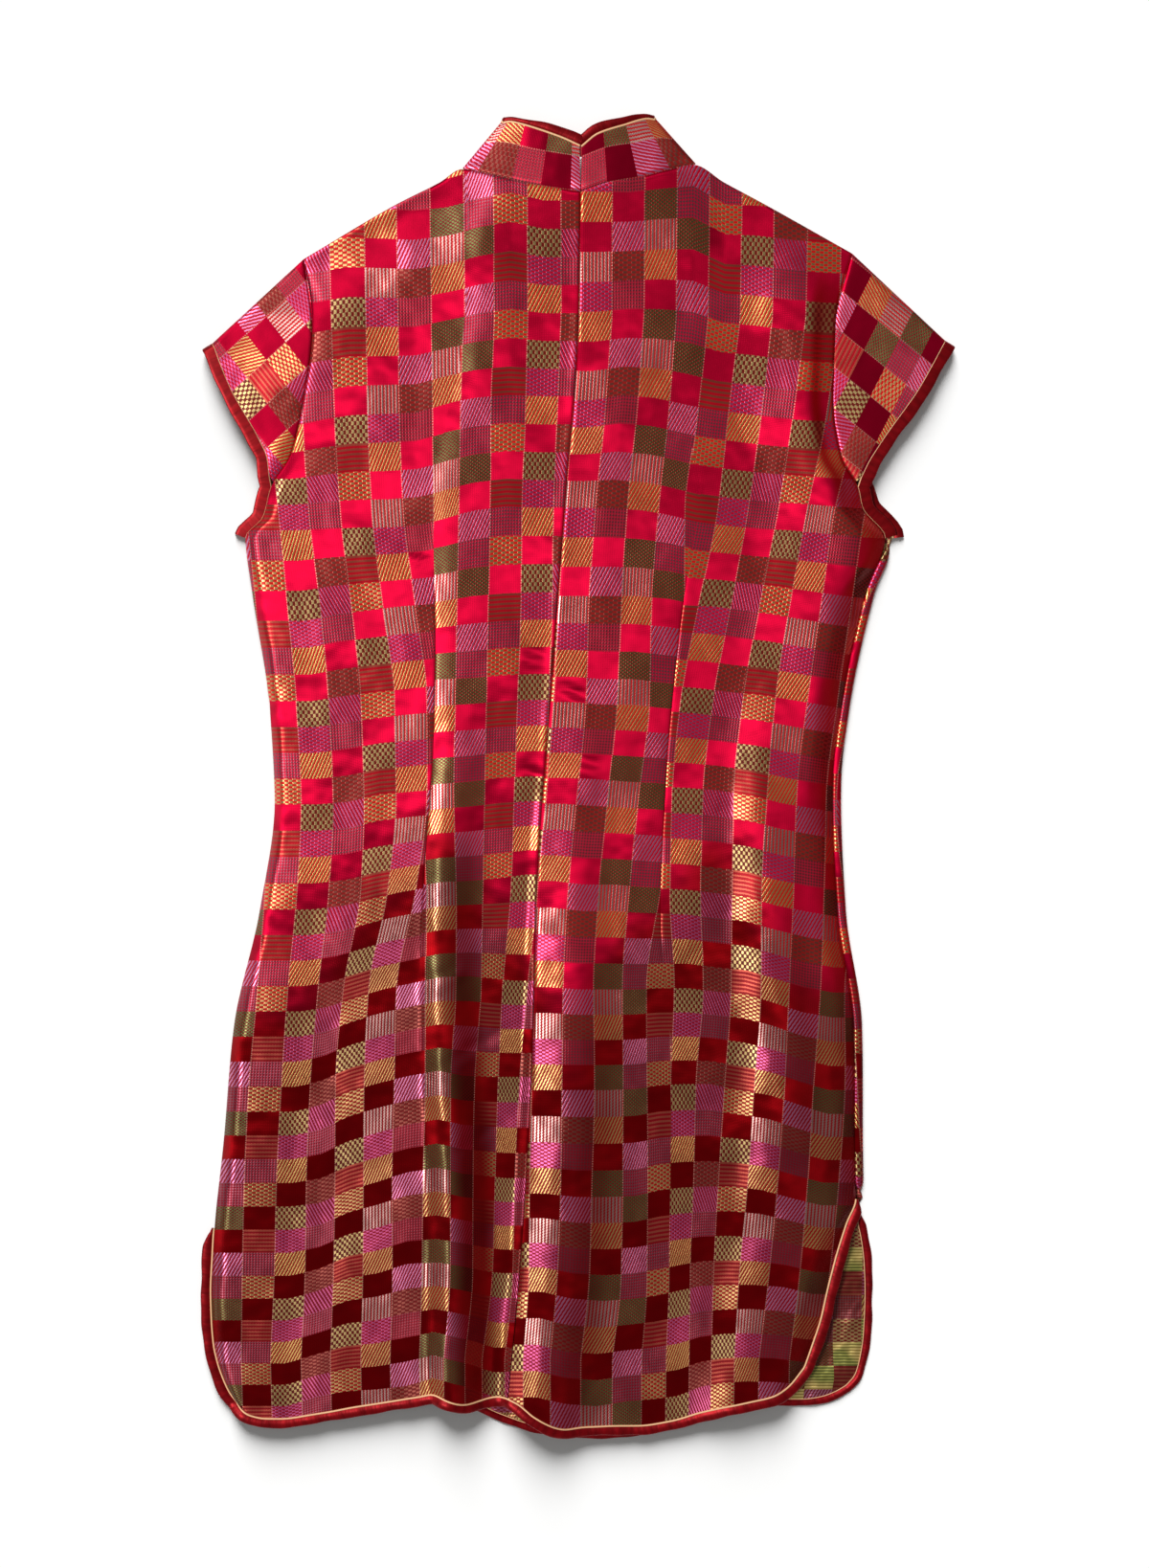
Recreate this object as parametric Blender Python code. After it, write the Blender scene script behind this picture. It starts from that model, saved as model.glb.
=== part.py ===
"""Cheongsam dress laid flat, centre back up: the collar to +Y, the hem to -Y, the surface at z = 0.

Sizes and tables are in millimetres. Plan coordinates are measured from a point on the dress's waist;
settle() moves the middle of the finished dress to the origin. Every panel is a grid of points through
the middle of its wall, and what is sewn to a panel is made from that grid's own edge.
"""

import math

import bpy
import numpy as np

# Driving dimensions
PANEL_WALL = 1.2
COLLAR_WALL = 1.6
TAPE_WALL = 1.0
SEAM = 0.3  # between two pieces that are sewn together
CENTRE_BACK_GAP = 0.8
PIPING = 1.4  # cord across
PIPING_RISE = 0.15
BINDING = 5.5  # satin binding across
BINDING_LOW = -0.6  # its underside, from the middle of the wall
BINDING_HIGH = 1.3
COLLAR_BINDING = 3.2
COLLAR_BINDING_HALF = 1.0
FRONT_Z = PANEL_WALL / 2
COLLAR_FRONT_Z = COLLAR_BINDING_HALF
SEAM_SETBACK = 6.5  # of the right side seam from the dress's edge, which is the front's
ZIP_FOOT_Y = 40.0
TAPE_WIDTH = 13.0
COIL_WIDTH = 2.6
SLIDER_SIZE = (4.6, 9.0, 2.6)
WAIST_Y, UNDERARM_Y, SLEEVE_Y = 0.0, 190.0, 232.0
SLIT_TOP = 4  # row of the side tables where the slit ends

# Side edges of the back, from the hem corner up past the slit, waist and underarm to the shoulder
SIDE_LEFT = (  # x, y, z
    (-277, -513, 3.4), (-287, -492, 3.3), (-294, -465, 3.2), (-295, -430, 3.2), (-291, -369, 3.0),
    (-281, -289, 2.2), (-270, -194, 2.2), (-247, -100, 2.2), (-233, -8, 2.2), (-235, 59, 2.2),
    (-246, 148, 2.5), (-250, 190, 3.2), (-236, 206, 4.6), (-229, 228, 7.4), (-213, 253, 8.8),
    (-203, 292, 9.4), (-195, 345, 8.4), (-201, 396, 2.4),
)
SIDE_RIGHT = (
    (189, -482, 7.0), (201, -441, 7.0), (209, -402, 6.4), (219, -359, 4.0), (226, -338, 2.6),
    (224.5, -289, 2.2), (221.5, -194, 2.2), (206.5, -100, 2.2), (200.5, 3, 2.2), (205.5, 59, 2.2),
    (222.5, 148, 2.5), (236, 190, 3.2), (218, 213, 5.4), (214, 228, 7.4), (201, 250, 8.8),
    (193.5, 295, 9.4), (194, 345, 8.4), (206, 400, 2.4),
)
CENTRE_BACK = (  # x, y
    (-54, -505), (-42, -372), (-33, -212), (-29, -76), (-18, 72), (-6, 228), (3, 345), (4.5, 443),
)
HEM_LEFT = (  # x, y from the corner in
    (-277, -513), (-263, -523), (-243, -525), (-217, -520), (-160, -507), (-114, -497), (-104, -502),
    (-85, -508), (-54, -505),
)
HEM_RIGHT = (
    (189, -482), (175, -498), (159, -506), (108, -520), (52, -529), (-3, -531), (-32, -518),
    (-46, -508), (-54, -505),
)
TOP_LEFT = (  # x, y along the shoulder, then along the neck from the fourth row
    (-201, 396), (-132, 435), (-99, 451), (-83, 460), (-62, 456), (-34, 449), (4.5, 443),
)
TOP_RIGHT = ((206, 400), (141, 435), (110, 451), (88, 463), (69, 459), (50, 454), (26, 450), (4.5, 443))
TOP_HEIGHT = (  # share of the way in, z
    (0, 2.4), (0.1, 2.2), (0.45, 2.2), (0.59, 4.2), (0.72, 8.5), (0.85, 10.5), (1, 11.5),
)
# Folds of the back: ridge and valley as shares of the way from the side edge to the centre back
FOLDS_LEFT = (  # y, ridge, its z, valley, its z, z at the centre back
    (-520, 0.73, 21, 0.93, 9, 14), (-430, 0.72, 27, 0.95, 8.5, 21), (-330, 0.69, 27, 0.95, 8.5, 22),
    (-217, 0.64, 23, 0.94, 9, 18), (-100, 0.60, 18, 0.93, 10, 14), (0, 0.59, 13, 0.92, 11.5, 12),
    (250, 0.59, 12, 0.92, 12, 12), (450, 0.59, 11, 0.92, 11, 11),
)
FOLDS_RIGHT = (
    (-520, 0.24, 13, 0.57, 11, 14), (-430, 0.24, 20, 0.56, 9, 21), (-330, 0.235, 21, 0.56, 9, 22),
    (-217, 0.25, 20, 0.57, 9.5, 18), (-100, 0.27, 17, 0.59, 10, 14), (0, 0.30, 12.5, 0.58, 11, 12),
    (250, 0.30, 12, 0.58, 12, 12), (450, 0.30, 11, 0.584, 11, 11),
)
# The front lies under the back. Its left edge is this far inside the back's, its right edge this far outside.
FRONT_INSIDE_LEFT = ((-508, 9), (-465, 7), (-430, 6), (-369, 4), (-338, 1), (-300, 0), (400, 0))  # y, inset
FRONT_SLIT_RIGHT = ((222, -497), (233, -462), (234, -440), (232.5, -387), (232, -340))  # x, y
FRONT_SETBACK = (  # y, share of the setback
    (-300, 1), (148, 1), (170, 0.9), (188, 0.6), (202, 0.15), (225, 0.1), (400, 0),
)
FRONT_HEM = (  # x, y
    (-268, -508), (-252, -519), (-225, -522), (-150, -514), (-83, -515), (-60, -526), (-30, -536),
    (14, -541), (57, -538), (140, -521), (200, -508), (222, -497),
)
FRONT_TOP = (  # x, y along the shoulder, round the neck and along the other shoulder
    (-201, 396), (-132, 434), (-99, 450), (-83, 458), (-79, 450), (-62, 422), (-35, 401), (2, 394),
    (40, 400), (67, 423), (84, 452), (88, 460), (110, 449), (141, 434), (206, 400),
)
# Hem of each cap sleeve's back layer, from the underarm up to the shoulder fold
SLEEVE_HEM_LEFT = (  # x, y, z
    (-230, 237, 7.8), (-231, 250, 8.4), (-238, 267, 8.8), (-256, 300, 8.8), (-263, 317, 8.0), (-268, 331, 6.6),
)
SLEEVE_HEM_RIGHT = (
    (216, 236, 7.8), (221, 247, 8.4), (232, 265, 8.8), (257, 301, 8.8), (267, 319, 8.0), (275, 334, 6.6),
)
# Top edge of the collar: the back layer from the centre back out to the side fold, and the front layer
COLLAR_TOP_LEFT = (  # x, y, z
    (3.6, 479, 11.5), (-7, 483.5, 11.5), (-18, 487, 11), (-30, 490, 10), (-40, 492, 8.5), (-47, 493, 6.5),
    (-52, 492.5, 4.8),
)
COLLAR_TOP_RIGHT = (
    (5.6, 478.5, 11.5), (17, 487, 11.5), (27, 490, 11), (37, 492, 10), (46, 494, 8.5), (53, 495, 6.5),
    (58, 494.5, 4.8),
)
COLLAR_TOP_FRONT = ((-49, 475), (-38, 460), (-20, 449), (2.5, 445), (26, 449), (44, 461), (55, 476))  # x, y

# Cells across a back panel: side to ridge, ridge to valley, valley to zip tape, over the tape
CELLS_LEFT = (5, 4, 1, 1)
CELLS_RIGHT = (4, 4, 5, 1)
FRONT_CELLS = (4, 8, 4)  # shoulder, neck, shoulder
ROWS = (("slit", 5), ("waist", 8), ("underarm", 4), ("sleeve", 2), ("shoulder", 6))
FRONT_ROWS = (("slit", 5), ("waist", 6), ("underarm", 4), ("sleeve", 2), ("shoulder", 6))


def curve(table, at, key=0, value=1):
    """Smooth value of one column where another column is `at`, with no overshoot between rows."""
    rows = sorted(table, key=lambda row: row[key])
    x = np.array([row[key] for row in rows], float)
    y = np.array([row[value] for row in rows], float)
    step = np.diff(x)
    rise = np.diff(y) / step
    slope = np.concatenate([rise[:1], np.zeros(len(x) - 2), rise[-1:]])
    same_way = rise[:-1] * rise[1:] > 0
    total = np.where(same_way, rise[:-1] + rise[1:], 1)
    slope[1:-1] = np.where(same_way, 2 * rise[:-1] * rise[1:] / total, 0)
    at = np.clip(np.asarray(at, float), x[0], x[-1])
    i = np.clip(np.searchsorted(x, at) - 1, 0, len(step) - 1)
    t = (at - x[i]) / step[i]
    start = ((1 + 2 * t) * y[i] + t * step[i] * slope[i]) * (1 - t) ** 2
    end = ((3 - 2 * t) * y[i + 1] - (1 - t) * step[i] * slope[i + 1]) * t**2
    return start + end


def smooth(t):
    t = np.clip(t, 0, 1)
    return t * t * (3 - 2 * t)


def unit(vectors):
    return vectors / np.maximum(np.linalg.norm(vectors, axis=-1, keepdims=True), 1e-9)


def levels(low, high, slit, rows):
    """Shares of the way up from low to high at which a panel's rows are cut."""
    stops = {"slit": slit, "waist": WAIST_Y, "underarm": UNDERARM_Y, "sleeve": SLEEVE_Y, "shoulder": high}
    shares, start = [0.0], low
    for name, count in rows:
        stop = stops[name]
        shares += [(start + (stop - start) * (k + 1) / count - low) / (high - low) for k in range(count)]
        start = stop
    return np.array(shares)


def row_of(name, rows):
    """Index of the row that ends the named stretch."""
    index = 0
    for stretch, count in rows:
        index += count
        if stretch == name:
            return index


def blend(side, inner, hem, top, u, v):
    """Plan points of a four-sided panel, u from the side in and v from the hem up."""
    u1, v1 = u[..., None], v[..., None]
    corners = (1 - v1) * ((1 - u1) * side(0.0) + u1 * inner(0.0)) + v1 * ((1 - u1) * side(1.0) + u1 * inner(1.0))
    return (1 - v1) * hem(u) + v1 * top(u) + (1 - u1) * side(v) + u1 * inner(v) - corners


def up_edge(table, shift=0.0):
    """An edge that runs up the panel: its point at a share of the height."""
    low, high = table[0][1], table[-1][1]

    def at(share):
        y = low + np.asarray(share, float) * (high - low)
        return np.stack([curve(table, y, 1, 0) + shift, y], -1)

    return at


def across_edge(table, shift=0.0):
    """An edge that runs across the panel: its point at a share of the width."""
    first, last = table[0][0], table[-1][0] + shift

    def at(share):
        x = first + np.asarray(share, float) * (last - first)
        return np.stack([x, curve(table, x)], -1)

    return at


def back_panel(side, hem, top, folds, cells, gap):
    """Wall middle of a back panel as [row][column][xyz], rows from the hem up, columns from the side in."""
    slit = side[SLIT_TOP][1]
    shares = levels(side[0][1], side[-1][1], slit, ROWS)
    outer, inner = up_edge(side), up_edge(CENTRE_BACK, gap)
    y_middle = (outer(shares)[:, 1] + inner(shares)[:, 1]) / 2
    ridge, ridge_z, valley, valley_z, centre_z = (curve(folds, y_middle, 0, c) for c in range(1, 6))
    tape = 1 - TAPE_WIDTH / np.abs(inner(shares)[:, 0] - outer(shares)[:, 0])
    stops = [np.zeros_like(ridge), ridge, np.minimum(valley, tape - 0.02), tape, np.ones_like(ridge)]
    columns = [stops[0]]
    for start, stop, count in zip(stops, stops[1:], cells):
        columns += [start + (stop - start) * (k + 1) / count for k in range(count)]
    u = np.stack(columns, 1)
    v = np.repeat(shares[:, None], u.shape[1], 1)
    plan = blend(outer, inner, across_edge(hem, gap), across_edge(top, gap), u, v)
    edge = curve(side, outer(v)[..., 1], 1, 2)
    folded = np.stack([
        curve([(0, edge[i, 0]), (ridge[i], ridge_z[i]), (valley[i], valley_z[i]), (1, centre_z[i])], u[i])
        for i in range(len(shares))
    ])
    crown = curve(TOP_HEIGHT, u)
    height = crown + (folded - crown) * smooth((1 - v) * (side[-1][1] - side[0][1]) / 60)
    height[:, 0] = edge[:, 0]
    return np.concatenate([plan, height[..., None]], -1)


def front_panel():
    """The front: flat on the surface, and past the right side seam by the setback."""
    left_shares = levels(FRONT_HEM[0][1], SIDE_LEFT[-1][1], SIDE_LEFT[SLIT_TOP][1], FRONT_ROWS)
    y_left = FRONT_HEM[0][1] + left_shares * (SIDE_LEFT[-1][1] - FRONT_HEM[0][1])
    x_left = curve(SIDE_LEFT, y_left, 1, 0) + curve(FRONT_INSIDE_LEFT, y_left)
    right_shares = levels(FRONT_HEM[-1][1], SIDE_RIGHT[-1][1], SIDE_RIGHT[SLIT_TOP][1], FRONT_ROWS)
    y_right = FRONT_HEM[-1][1] + right_shares * (SIDE_RIGHT[-1][1] - FRONT_HEM[-1][1])
    beyond = SEAM_SETBACK * curve(FRONT_SETBACK, y_right)
    x_right = curve(SIDE_RIGHT, y_right, 1, 0) + beyond
    in_slit = y_right < FRONT_SLIT_RIGHT[-1][1] + 2
    x_right = np.where(in_slit, curve(FRONT_SLIT_RIGHT, y_right, 1, 0), x_right)
    at = np.linspace(0, 1, len(y_left))
    side = lambda share: np.stack([np.interp(share, at, x_left), np.interp(share, at, y_left)], -1)
    inner = lambda share: np.stack([np.interp(share, at, x_right), np.interp(share, at, y_right)], -1)

    def between(table, first, last):
        """The edge across the front, drawn to the flat part's two corners."""
        ends = across_edge(((first[0], 0), (last[0], 0)))
        bend = lambda share: curve(table, ends(share)[..., 0])
        lift_first, lift_last = first[1] - bend(0.0), last[1] - bend(1.0)
        lift = lambda share: lift_first * (1 - share) + lift_last * share
        return lambda share: np.stack([ends(share)[..., 0], bend(share) + lift(share)], -1)

    hem, top = between(FRONT_HEM, side(0.0), inner(0.0)), between(FRONT_TOP, side(1.0), inner(1.0))
    width = inner(1.0)[0] - side(1.0)[0]
    neck = [(x - side(1.0)[0]) / width for x in (TOP_LEFT[3][0], TOP_RIGHT[3][0])]
    stops = [0.0, *neck, 1.0]
    across = [0.0]
    for start, stop, count in zip(stops, stops[1:], FRONT_CELLS):
        across += [start + (stop - start) * (k + 1) / count for k in range(count)]
    u, v = np.meshgrid(across, at)
    plan = blend(side, inner, hem, top, u, v)
    return np.concatenate([plan, np.full(plan.shape[:2] + (1,), FRONT_Z)], -1)


def outward(points, inside):
    """Plan directions square to an edge, away from a point inside it."""
    along = np.gradient(points, axis=0)
    out = np.stack([along[:, 1], -along[:, 0], np.zeros(len(points))], -1)
    facing = np.mean(np.sum(out * (points - np.array(inside)), -1))
    return unit(out) * (1 if facing > 0 else -1)


def build(name, points, faces, material):
    mesh = bpy.data.meshes.new(name)
    mesh.from_pydata([tuple(p) for p in np.asarray(points, float) / 1000], [], faces)
    corners = [mesh.vertices[k].co for k in range(len(mesh.vertices))]
    fans = ((corners[f[0]], corners[a], corners[b]) for f in faces for a, b in zip(f[1:-1], f[2:]))
    if sum(a.dot(b.cross(c)) for a, b, c in fans) < 0:
        mesh.flip_normals()
    mesh.materials.append(material)
    obj = bpy.data.objects.new(name, mesh)
    bpy.context.scene.collection.objects.link(obj)


def wall(name, grid, thick, material):
    """A closed sheet of cloth about a grid of points."""
    square = unit(np.cross(np.gradient(grid, axis=1), np.gradient(grid, axis=0)))
    rows, columns = grid.shape[:2]
    count = rows * columns
    points = np.concatenate([(grid + square * thick / 2).reshape(-1, 3), (grid - square * thick / 2).reshape(-1, 3)])
    faces = []
    for i in range(rows - 1):
        for j in range(columns - 1):
            a = i * columns + j
            quad = (a, a + 1, a + columns + 1, a + columns)
            faces += [quad, tuple(k + count for k in reversed(quad))]
    rim = list(range(columns)) + [i * columns + columns - 1 for i in range(1, rows)]
    rim += [(rows - 1) * columns + j for j in range(columns - 2, -1, -1)]
    rim += [i * columns for i in range(rows - 2, 0, -1)]
    faces += [(b, a, a + count, b + count) for a, b in zip(rim, rim[1:] + rim[:1])]
    build(name, points, faces, material)


def sweep(name, line, out, section, material):
    """A bar along a line. A section point is a distance along out and a height square to it."""
    along = unit(np.gradient(line, axis=0))
    out = unit(out - along * np.sum(out * along, -1, keepdims=True))
    up = np.cross(along, out)
    up *= -1 if up[:, 2].sum() < 0 else 1
    points = np.stack([line + a * out + b * up for a, b in section], 1).reshape(-1, 3)
    k, last = len(section), (len(line) - 1) * len(section)
    faces = [tuple(reversed(range(k))), tuple(range(last, last + k))]
    for i in range(0, last, k):
        faces += [(i + j, i + (j + 1) % k, i + k + (j + 1) % k, i + k + j) for j in range(k)]
    build(name, points, faces, material)


def trim(binding, piping, line, out, width=BINDING, low=BINDING_LOW, high=BINDING_HIGH):
    """Piping against a panel's edge and, beyond it, the satin binding."""
    r = PIPING / 2
    centre = SEAM + r
    round_section = [(centre - r, 0), (centre, r), (centre + r, 0), (centre, -r)]
    sweep(piping, line, out, [(a, b + PIPING_RISE) for a, b in round_section], CORD)
    near = centre + r + SEAM
    far = near + width
    shoulder = far - 0.6
    section = [(near, low), (shoulder, low), (far, (low + high) / 2), (shoulder, high), (near, high)]
    sweep(binding, line, out, section, SATIN)


def fold(high, low, out):
    """Three points round the fold between a back layer's last point and the front layer's first."""
    r = (high[2] - low[2]) / 2
    middle = (high + low) / 2
    angles = (math.pi / 4, math.pi / 2, 3 * math.pi / 4)
    return [middle + np.append(out * r * math.sin(t), r * math.cos(t)) for t in angles]


def sleeve(name, armhole_back, armhole_front, hem_table, side):
    """A cap sleeve: its back layer from the underarm up, over the shoulder fold and down its front layer."""
    inside = (0.0, 300.0, 0.0)
    back = armhole_back + outward(armhole_back, inside) * SEAM * 1.5
    front = armhole_front + outward(armhole_front, inside) * SEAM * 1.5
    share = np.linspace(0, 1, len(back))
    rows = [(k / (len(hem_table) - 1), *row) for k, row in enumerate(hem_table)]
    hem_back = np.stack([curve(rows, share, 0, column) for column in (1, 2, 3)], -1)
    hem_front = hem_back * (1, 1, 0) + (0, 0, FRONT_Z)
    up_shoulder = unit(np.array([side * 0.5, 0.86]))
    columns = []
    for a in (0.0, 0.34, 0.67, 1.0):
        high, low = back + (hem_back - back) * a, front + (hem_front - front) * a
        columns.append(np.concatenate([high, fold(high[-1], low[-1], up_shoulder), low[::-1]]))
    grid = np.stack(columns, 1)
    wall(name, grid, PANEL_WALL, BROCADE)
    return grid[:, -1]


def armhole_trim(name, back, sleeve_hem, front, side):
    """Binding and piping from the side seam up the back of the armhole, round the sleeve and down the front."""
    line = np.concatenate([back, sleeve_hem, front[::-1]])
    inside = (0.0, 250.0, 0.0)
    half = len(line) // 2
    tip = np.tile(unit(np.array([side * 0.86, -0.5, 0.0])), (7, 1))
    before, after = line[: half - 3], line[half + 4 :]
    out = np.concatenate([outward(before, inside), tip, outward(after, inside)])
    trim(f"armhole_binding_{name}", f"armhole_piping_{name}", line, out)


def collar_stations(panel, table, side):
    """Back layer from the centre back out, the fold, and the front layer's first station, as edge pairs."""
    neck = panel[-1, ::-1][: len(table)]
    neck = neck + outward(neck, (0.0, 200.0, 0.0)) * SEAM * 1.5
    top = np.array(table, float)
    low_neck, low_top = (np.append(p[:2], COLLAR_FRONT_Z) for p in (neck[-1], top[-1]))
    rise = top[-1] - neck[-1]
    out = unit(np.array([side * rise[1], abs(rise[0])]))
    turned = list(zip(fold(neck[-1], low_neck, out), fold(top[-1], low_top, out)))
    return list(zip(neck, top)), turned + [(low_neck, low_top)]


def collar_grid(left, right, front_neck):
    """Stations from the left end at the centre back, round the front, to the right end, neck edge to top edge."""
    back_left, turn_left = collar_stations(left, COLLAR_TOP_LEFT, -1)
    back_right, turn_right = collar_stations(right, COLLAR_TOP_RIGHT, 1)
    neck = front_neck + outward(front_neck, (0.0, 0.0, 0.0)) * SEAM * 1.5
    neck[:, 2] = COLLAR_FRONT_Z
    under = [(low, np.array([*top, COLLAR_FRONT_Z])) for low, top in zip(neck, COLLAR_TOP_FRONT)]
    order = back_left + turn_left + under + turn_right[::-1] + back_right[::-1]
    return np.array([[low + (top - low) * k / 3 for k in range(4)] for low, top in order])


def tape_rows(panel, collar_columns):
    """Far and near edges of the zip tape's place, under the panel and then under the collar."""
    rows = [row[-2:] - (0, 0, PANEL_WALL / 2 + SEAM + TAPE_WALL / 2) for row in panel if row[-1, 1] > ZIP_FOOT_Y]
    drop = COLLAR_WALL / 2 + SEAM + TAPE_WALL / 2
    rows += [np.stack(pair) - (0, 0, drop) for pair in zip(*collar_columns)]
    return np.array(rows)


def zip_pieces(left, right, collar):
    """Two tapes, the coil between them, and the slider at the top of the collar, all inside the dress."""
    rows = {
        "left": tape_rows(left, (collar[1], collar[0])),
        "right": tape_rows(right, (collar[-2], collar[-1])),
    }
    for side, pair in rows.items():
        far, near = pair[:, 0], pair[:, 1]
        wall(f"zip_tape_{side}", np.stack([far + (near - far) * s for s in (0.05, 0.45, 0.84)], 1), TAPE_WALL, TAPE)
    count = min(len(pair) for pair in rows.values())
    line = (rows["left"][-count:, 1] + rows["right"][-count:, 1]) / 2
    line[-1] = line[-1] + (line[-2] - line[-1]) * 0.8
    half, low = COIL_WIDTH / 2, TAPE_WALL / 2
    section = [(-half, -low), (half, -low), (half, low), (-half, low)]
    sweep("zip_coil", line, np.tile([1.0, 0.0, 0.0], (count, 1)), section, TAPE)
    width, length, thick = SLIDER_SIZE
    middle = line[-1] + (0, SEAM + length / 2, -0.8)
    plan = ((-0.7, -1), (0.7, -1), (1, 1), (-1, 1))  # the slider is narrower below
    corners = [middle + (x * width / 2, y * length / 2, z * thick / 2) for z in (-1, 1) for x, y in plan]
    sides = [(k, (k + 1) % 4, 4 + (k + 1) % 4, 4 + k) for k in range(4)]
    build("zip_slider", corners, [(3, 2, 1, 0), (4, 5, 6, 7), *sides], METAL)


def finish(name, colour, rough, metallic=0.0):
    material = bpy.data.materials.new(name)
    material.use_nodes = True
    shader = material.node_tree.nodes["Principled BSDF"]
    shader.inputs["Base Color"].default_value = (*colour, 1)
    shader.inputs["Roughness"].default_value = rough
    shader.inputs["Metallic"].default_value = metallic
    return material


def settle():
    """Moves the middle of the dress's plan to the origin and its underside to z = 0."""
    objects = list(bpy.context.scene.objects)
    corners = np.concatenate([[v.co[:] for v in obj.data.vertices] for obj in objects])
    low, high = corners.min(0), corners.max(0)
    shift = ((low[0] + high[0]) / 2, (low[1] + high[1]) / 2, low[2])
    for obj in objects:
        for vertex in obj.data.vertices:
            vertex.co = [a - b for a, b in zip(vertex.co, shift)]


for old in list(bpy.data.objects):
    bpy.data.objects.remove(old, do_unlink=True)

BROCADE = finish("brocade", (0.32, 0.03, 0.05), 0.5)
SATIN = finish("satin_binding", (0.42, 0.005, 0.01), 0.35)
CORD = finish("piping", (0.85, 0.55, 0.36), 0.5)
TAPE = finish("zip_tape", (0.30, 0.01, 0.015), 0.7)
METAL = finish("zip_metal", (0.35, 0.02, 0.03), 0.4, 0.6)

back_left = back_panel(SIDE_LEFT, HEM_LEFT, TOP_LEFT, FOLDS_LEFT, CELLS_LEFT, -CENTRE_BACK_GAP / 2)
back_right = back_panel(SIDE_RIGHT, HEM_RIGHT, TOP_RIGHT, FOLDS_RIGHT, CELLS_RIGHT, CENTRE_BACK_GAP / 2)
front = front_panel()
wall("back_left", back_left, PANEL_WALL, BROCADE)
wall("back_right", back_right, PANEL_WALL, BROCADE)
wall("front", front, PANEL_WALL, BROCADE)

slit = row_of("slit", ROWS)
on_the_waist = (-20.0, -100.0, 0.0)
centre_hem = (back_left[0, -1:] + back_right[0, -1:]) / 2
hem_of_back = np.concatenate([
    back_left[slit::-1, 0], back_left[0, 1:-1], centre_hem, back_right[0, -2:0:-1], back_right[: slit + 1, 0],
])
trim("hem_binding_back", "hem_piping_back", hem_of_back, outward(hem_of_back, on_the_waist))
front_slit = row_of("slit", FRONT_ROWS)
hem_of_front = np.concatenate([front[front_slit - 1 :: -1, 0], front[0, 1:-1], front[:front_slit, -1]])
trim("hem_binding_front", "hem_piping_front", hem_of_front, outward(hem_of_front, on_the_waist))

underarm, join = row_of("underarm", ROWS), row_of("sleeve", ROWS)
front_underarm, front_join = row_of("underarm", FRONT_ROWS), row_of("sleeve", FRONT_ROWS)
for name, back, front_edge, hem, side in (
    ("left", back_left[:, 0], front[:, 0], SLEEVE_HEM_LEFT, -1),
    ("right", back_right[:, 0], front[:, -1], SLEEVE_HEM_RIGHT, 1),
):
    sleeve_hem = sleeve(f"sleeve_{name}", back[join:], front_edge[front_join:], hem, side)
    armhole_trim(name, back[underarm:join], sleeve_hem, front_edge[front_underarm:front_join], side)

front_neck = front[-1, FRONT_CELLS[0] + 1 : FRONT_CELLS[0] + FRONT_CELLS[1]]
collar = collar_grid(back_left, back_right, front_neck)
wall("collar", collar, COLLAR_WALL, BROCADE)
trim(
    "collar_binding", "collar_piping", collar[:, -1], unit(collar[:, -1] - collar[:, -2]),
    COLLAR_BINDING, -COLLAR_BINDING_HALF, COLLAR_BINDING_HALF,
)
zip_pieces(back_left, back_right, collar)
settle()
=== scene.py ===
"""Visual model of a checked brocade cheongsam laid flat with its centre back up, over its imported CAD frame.

Tables are in millimetres, in the dress's own plan coordinates: +Y to the collar, measured from a point
on the waist. PLAN moves them to the row's frame. A sheet is a grid of points through the middle of its
cloth, rows from the hem up and columns from left to right, so its face looks up.
"""

import math

import bpy
import numpy as np
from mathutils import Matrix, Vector


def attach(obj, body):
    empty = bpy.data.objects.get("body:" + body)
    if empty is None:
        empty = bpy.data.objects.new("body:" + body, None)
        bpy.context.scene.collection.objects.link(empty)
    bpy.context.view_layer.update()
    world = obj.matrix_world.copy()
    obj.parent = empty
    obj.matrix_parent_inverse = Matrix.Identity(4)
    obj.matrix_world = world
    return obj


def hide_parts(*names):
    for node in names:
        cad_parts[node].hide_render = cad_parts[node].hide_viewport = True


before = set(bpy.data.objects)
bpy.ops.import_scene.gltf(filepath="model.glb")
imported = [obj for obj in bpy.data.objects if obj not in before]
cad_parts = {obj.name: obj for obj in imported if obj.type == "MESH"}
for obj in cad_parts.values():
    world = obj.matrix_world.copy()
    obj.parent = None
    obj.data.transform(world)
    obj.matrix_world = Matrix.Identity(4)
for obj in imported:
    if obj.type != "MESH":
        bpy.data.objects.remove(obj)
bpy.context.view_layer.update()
bpy.ops.object.select_all(action="DESELECT")
scene = bpy.context.scene

# ---- View, light and floor --------------------------------------------------------------------------
# The dress lies on a pale matt table. A soft window to its left and a large softbox beyond its left
# shoulder light it. A low lamp beyond the collar lights the table alone, so the hem's shadow falls below
# it, and the pale room fills that shadow. The camera looks down on the back.

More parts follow.
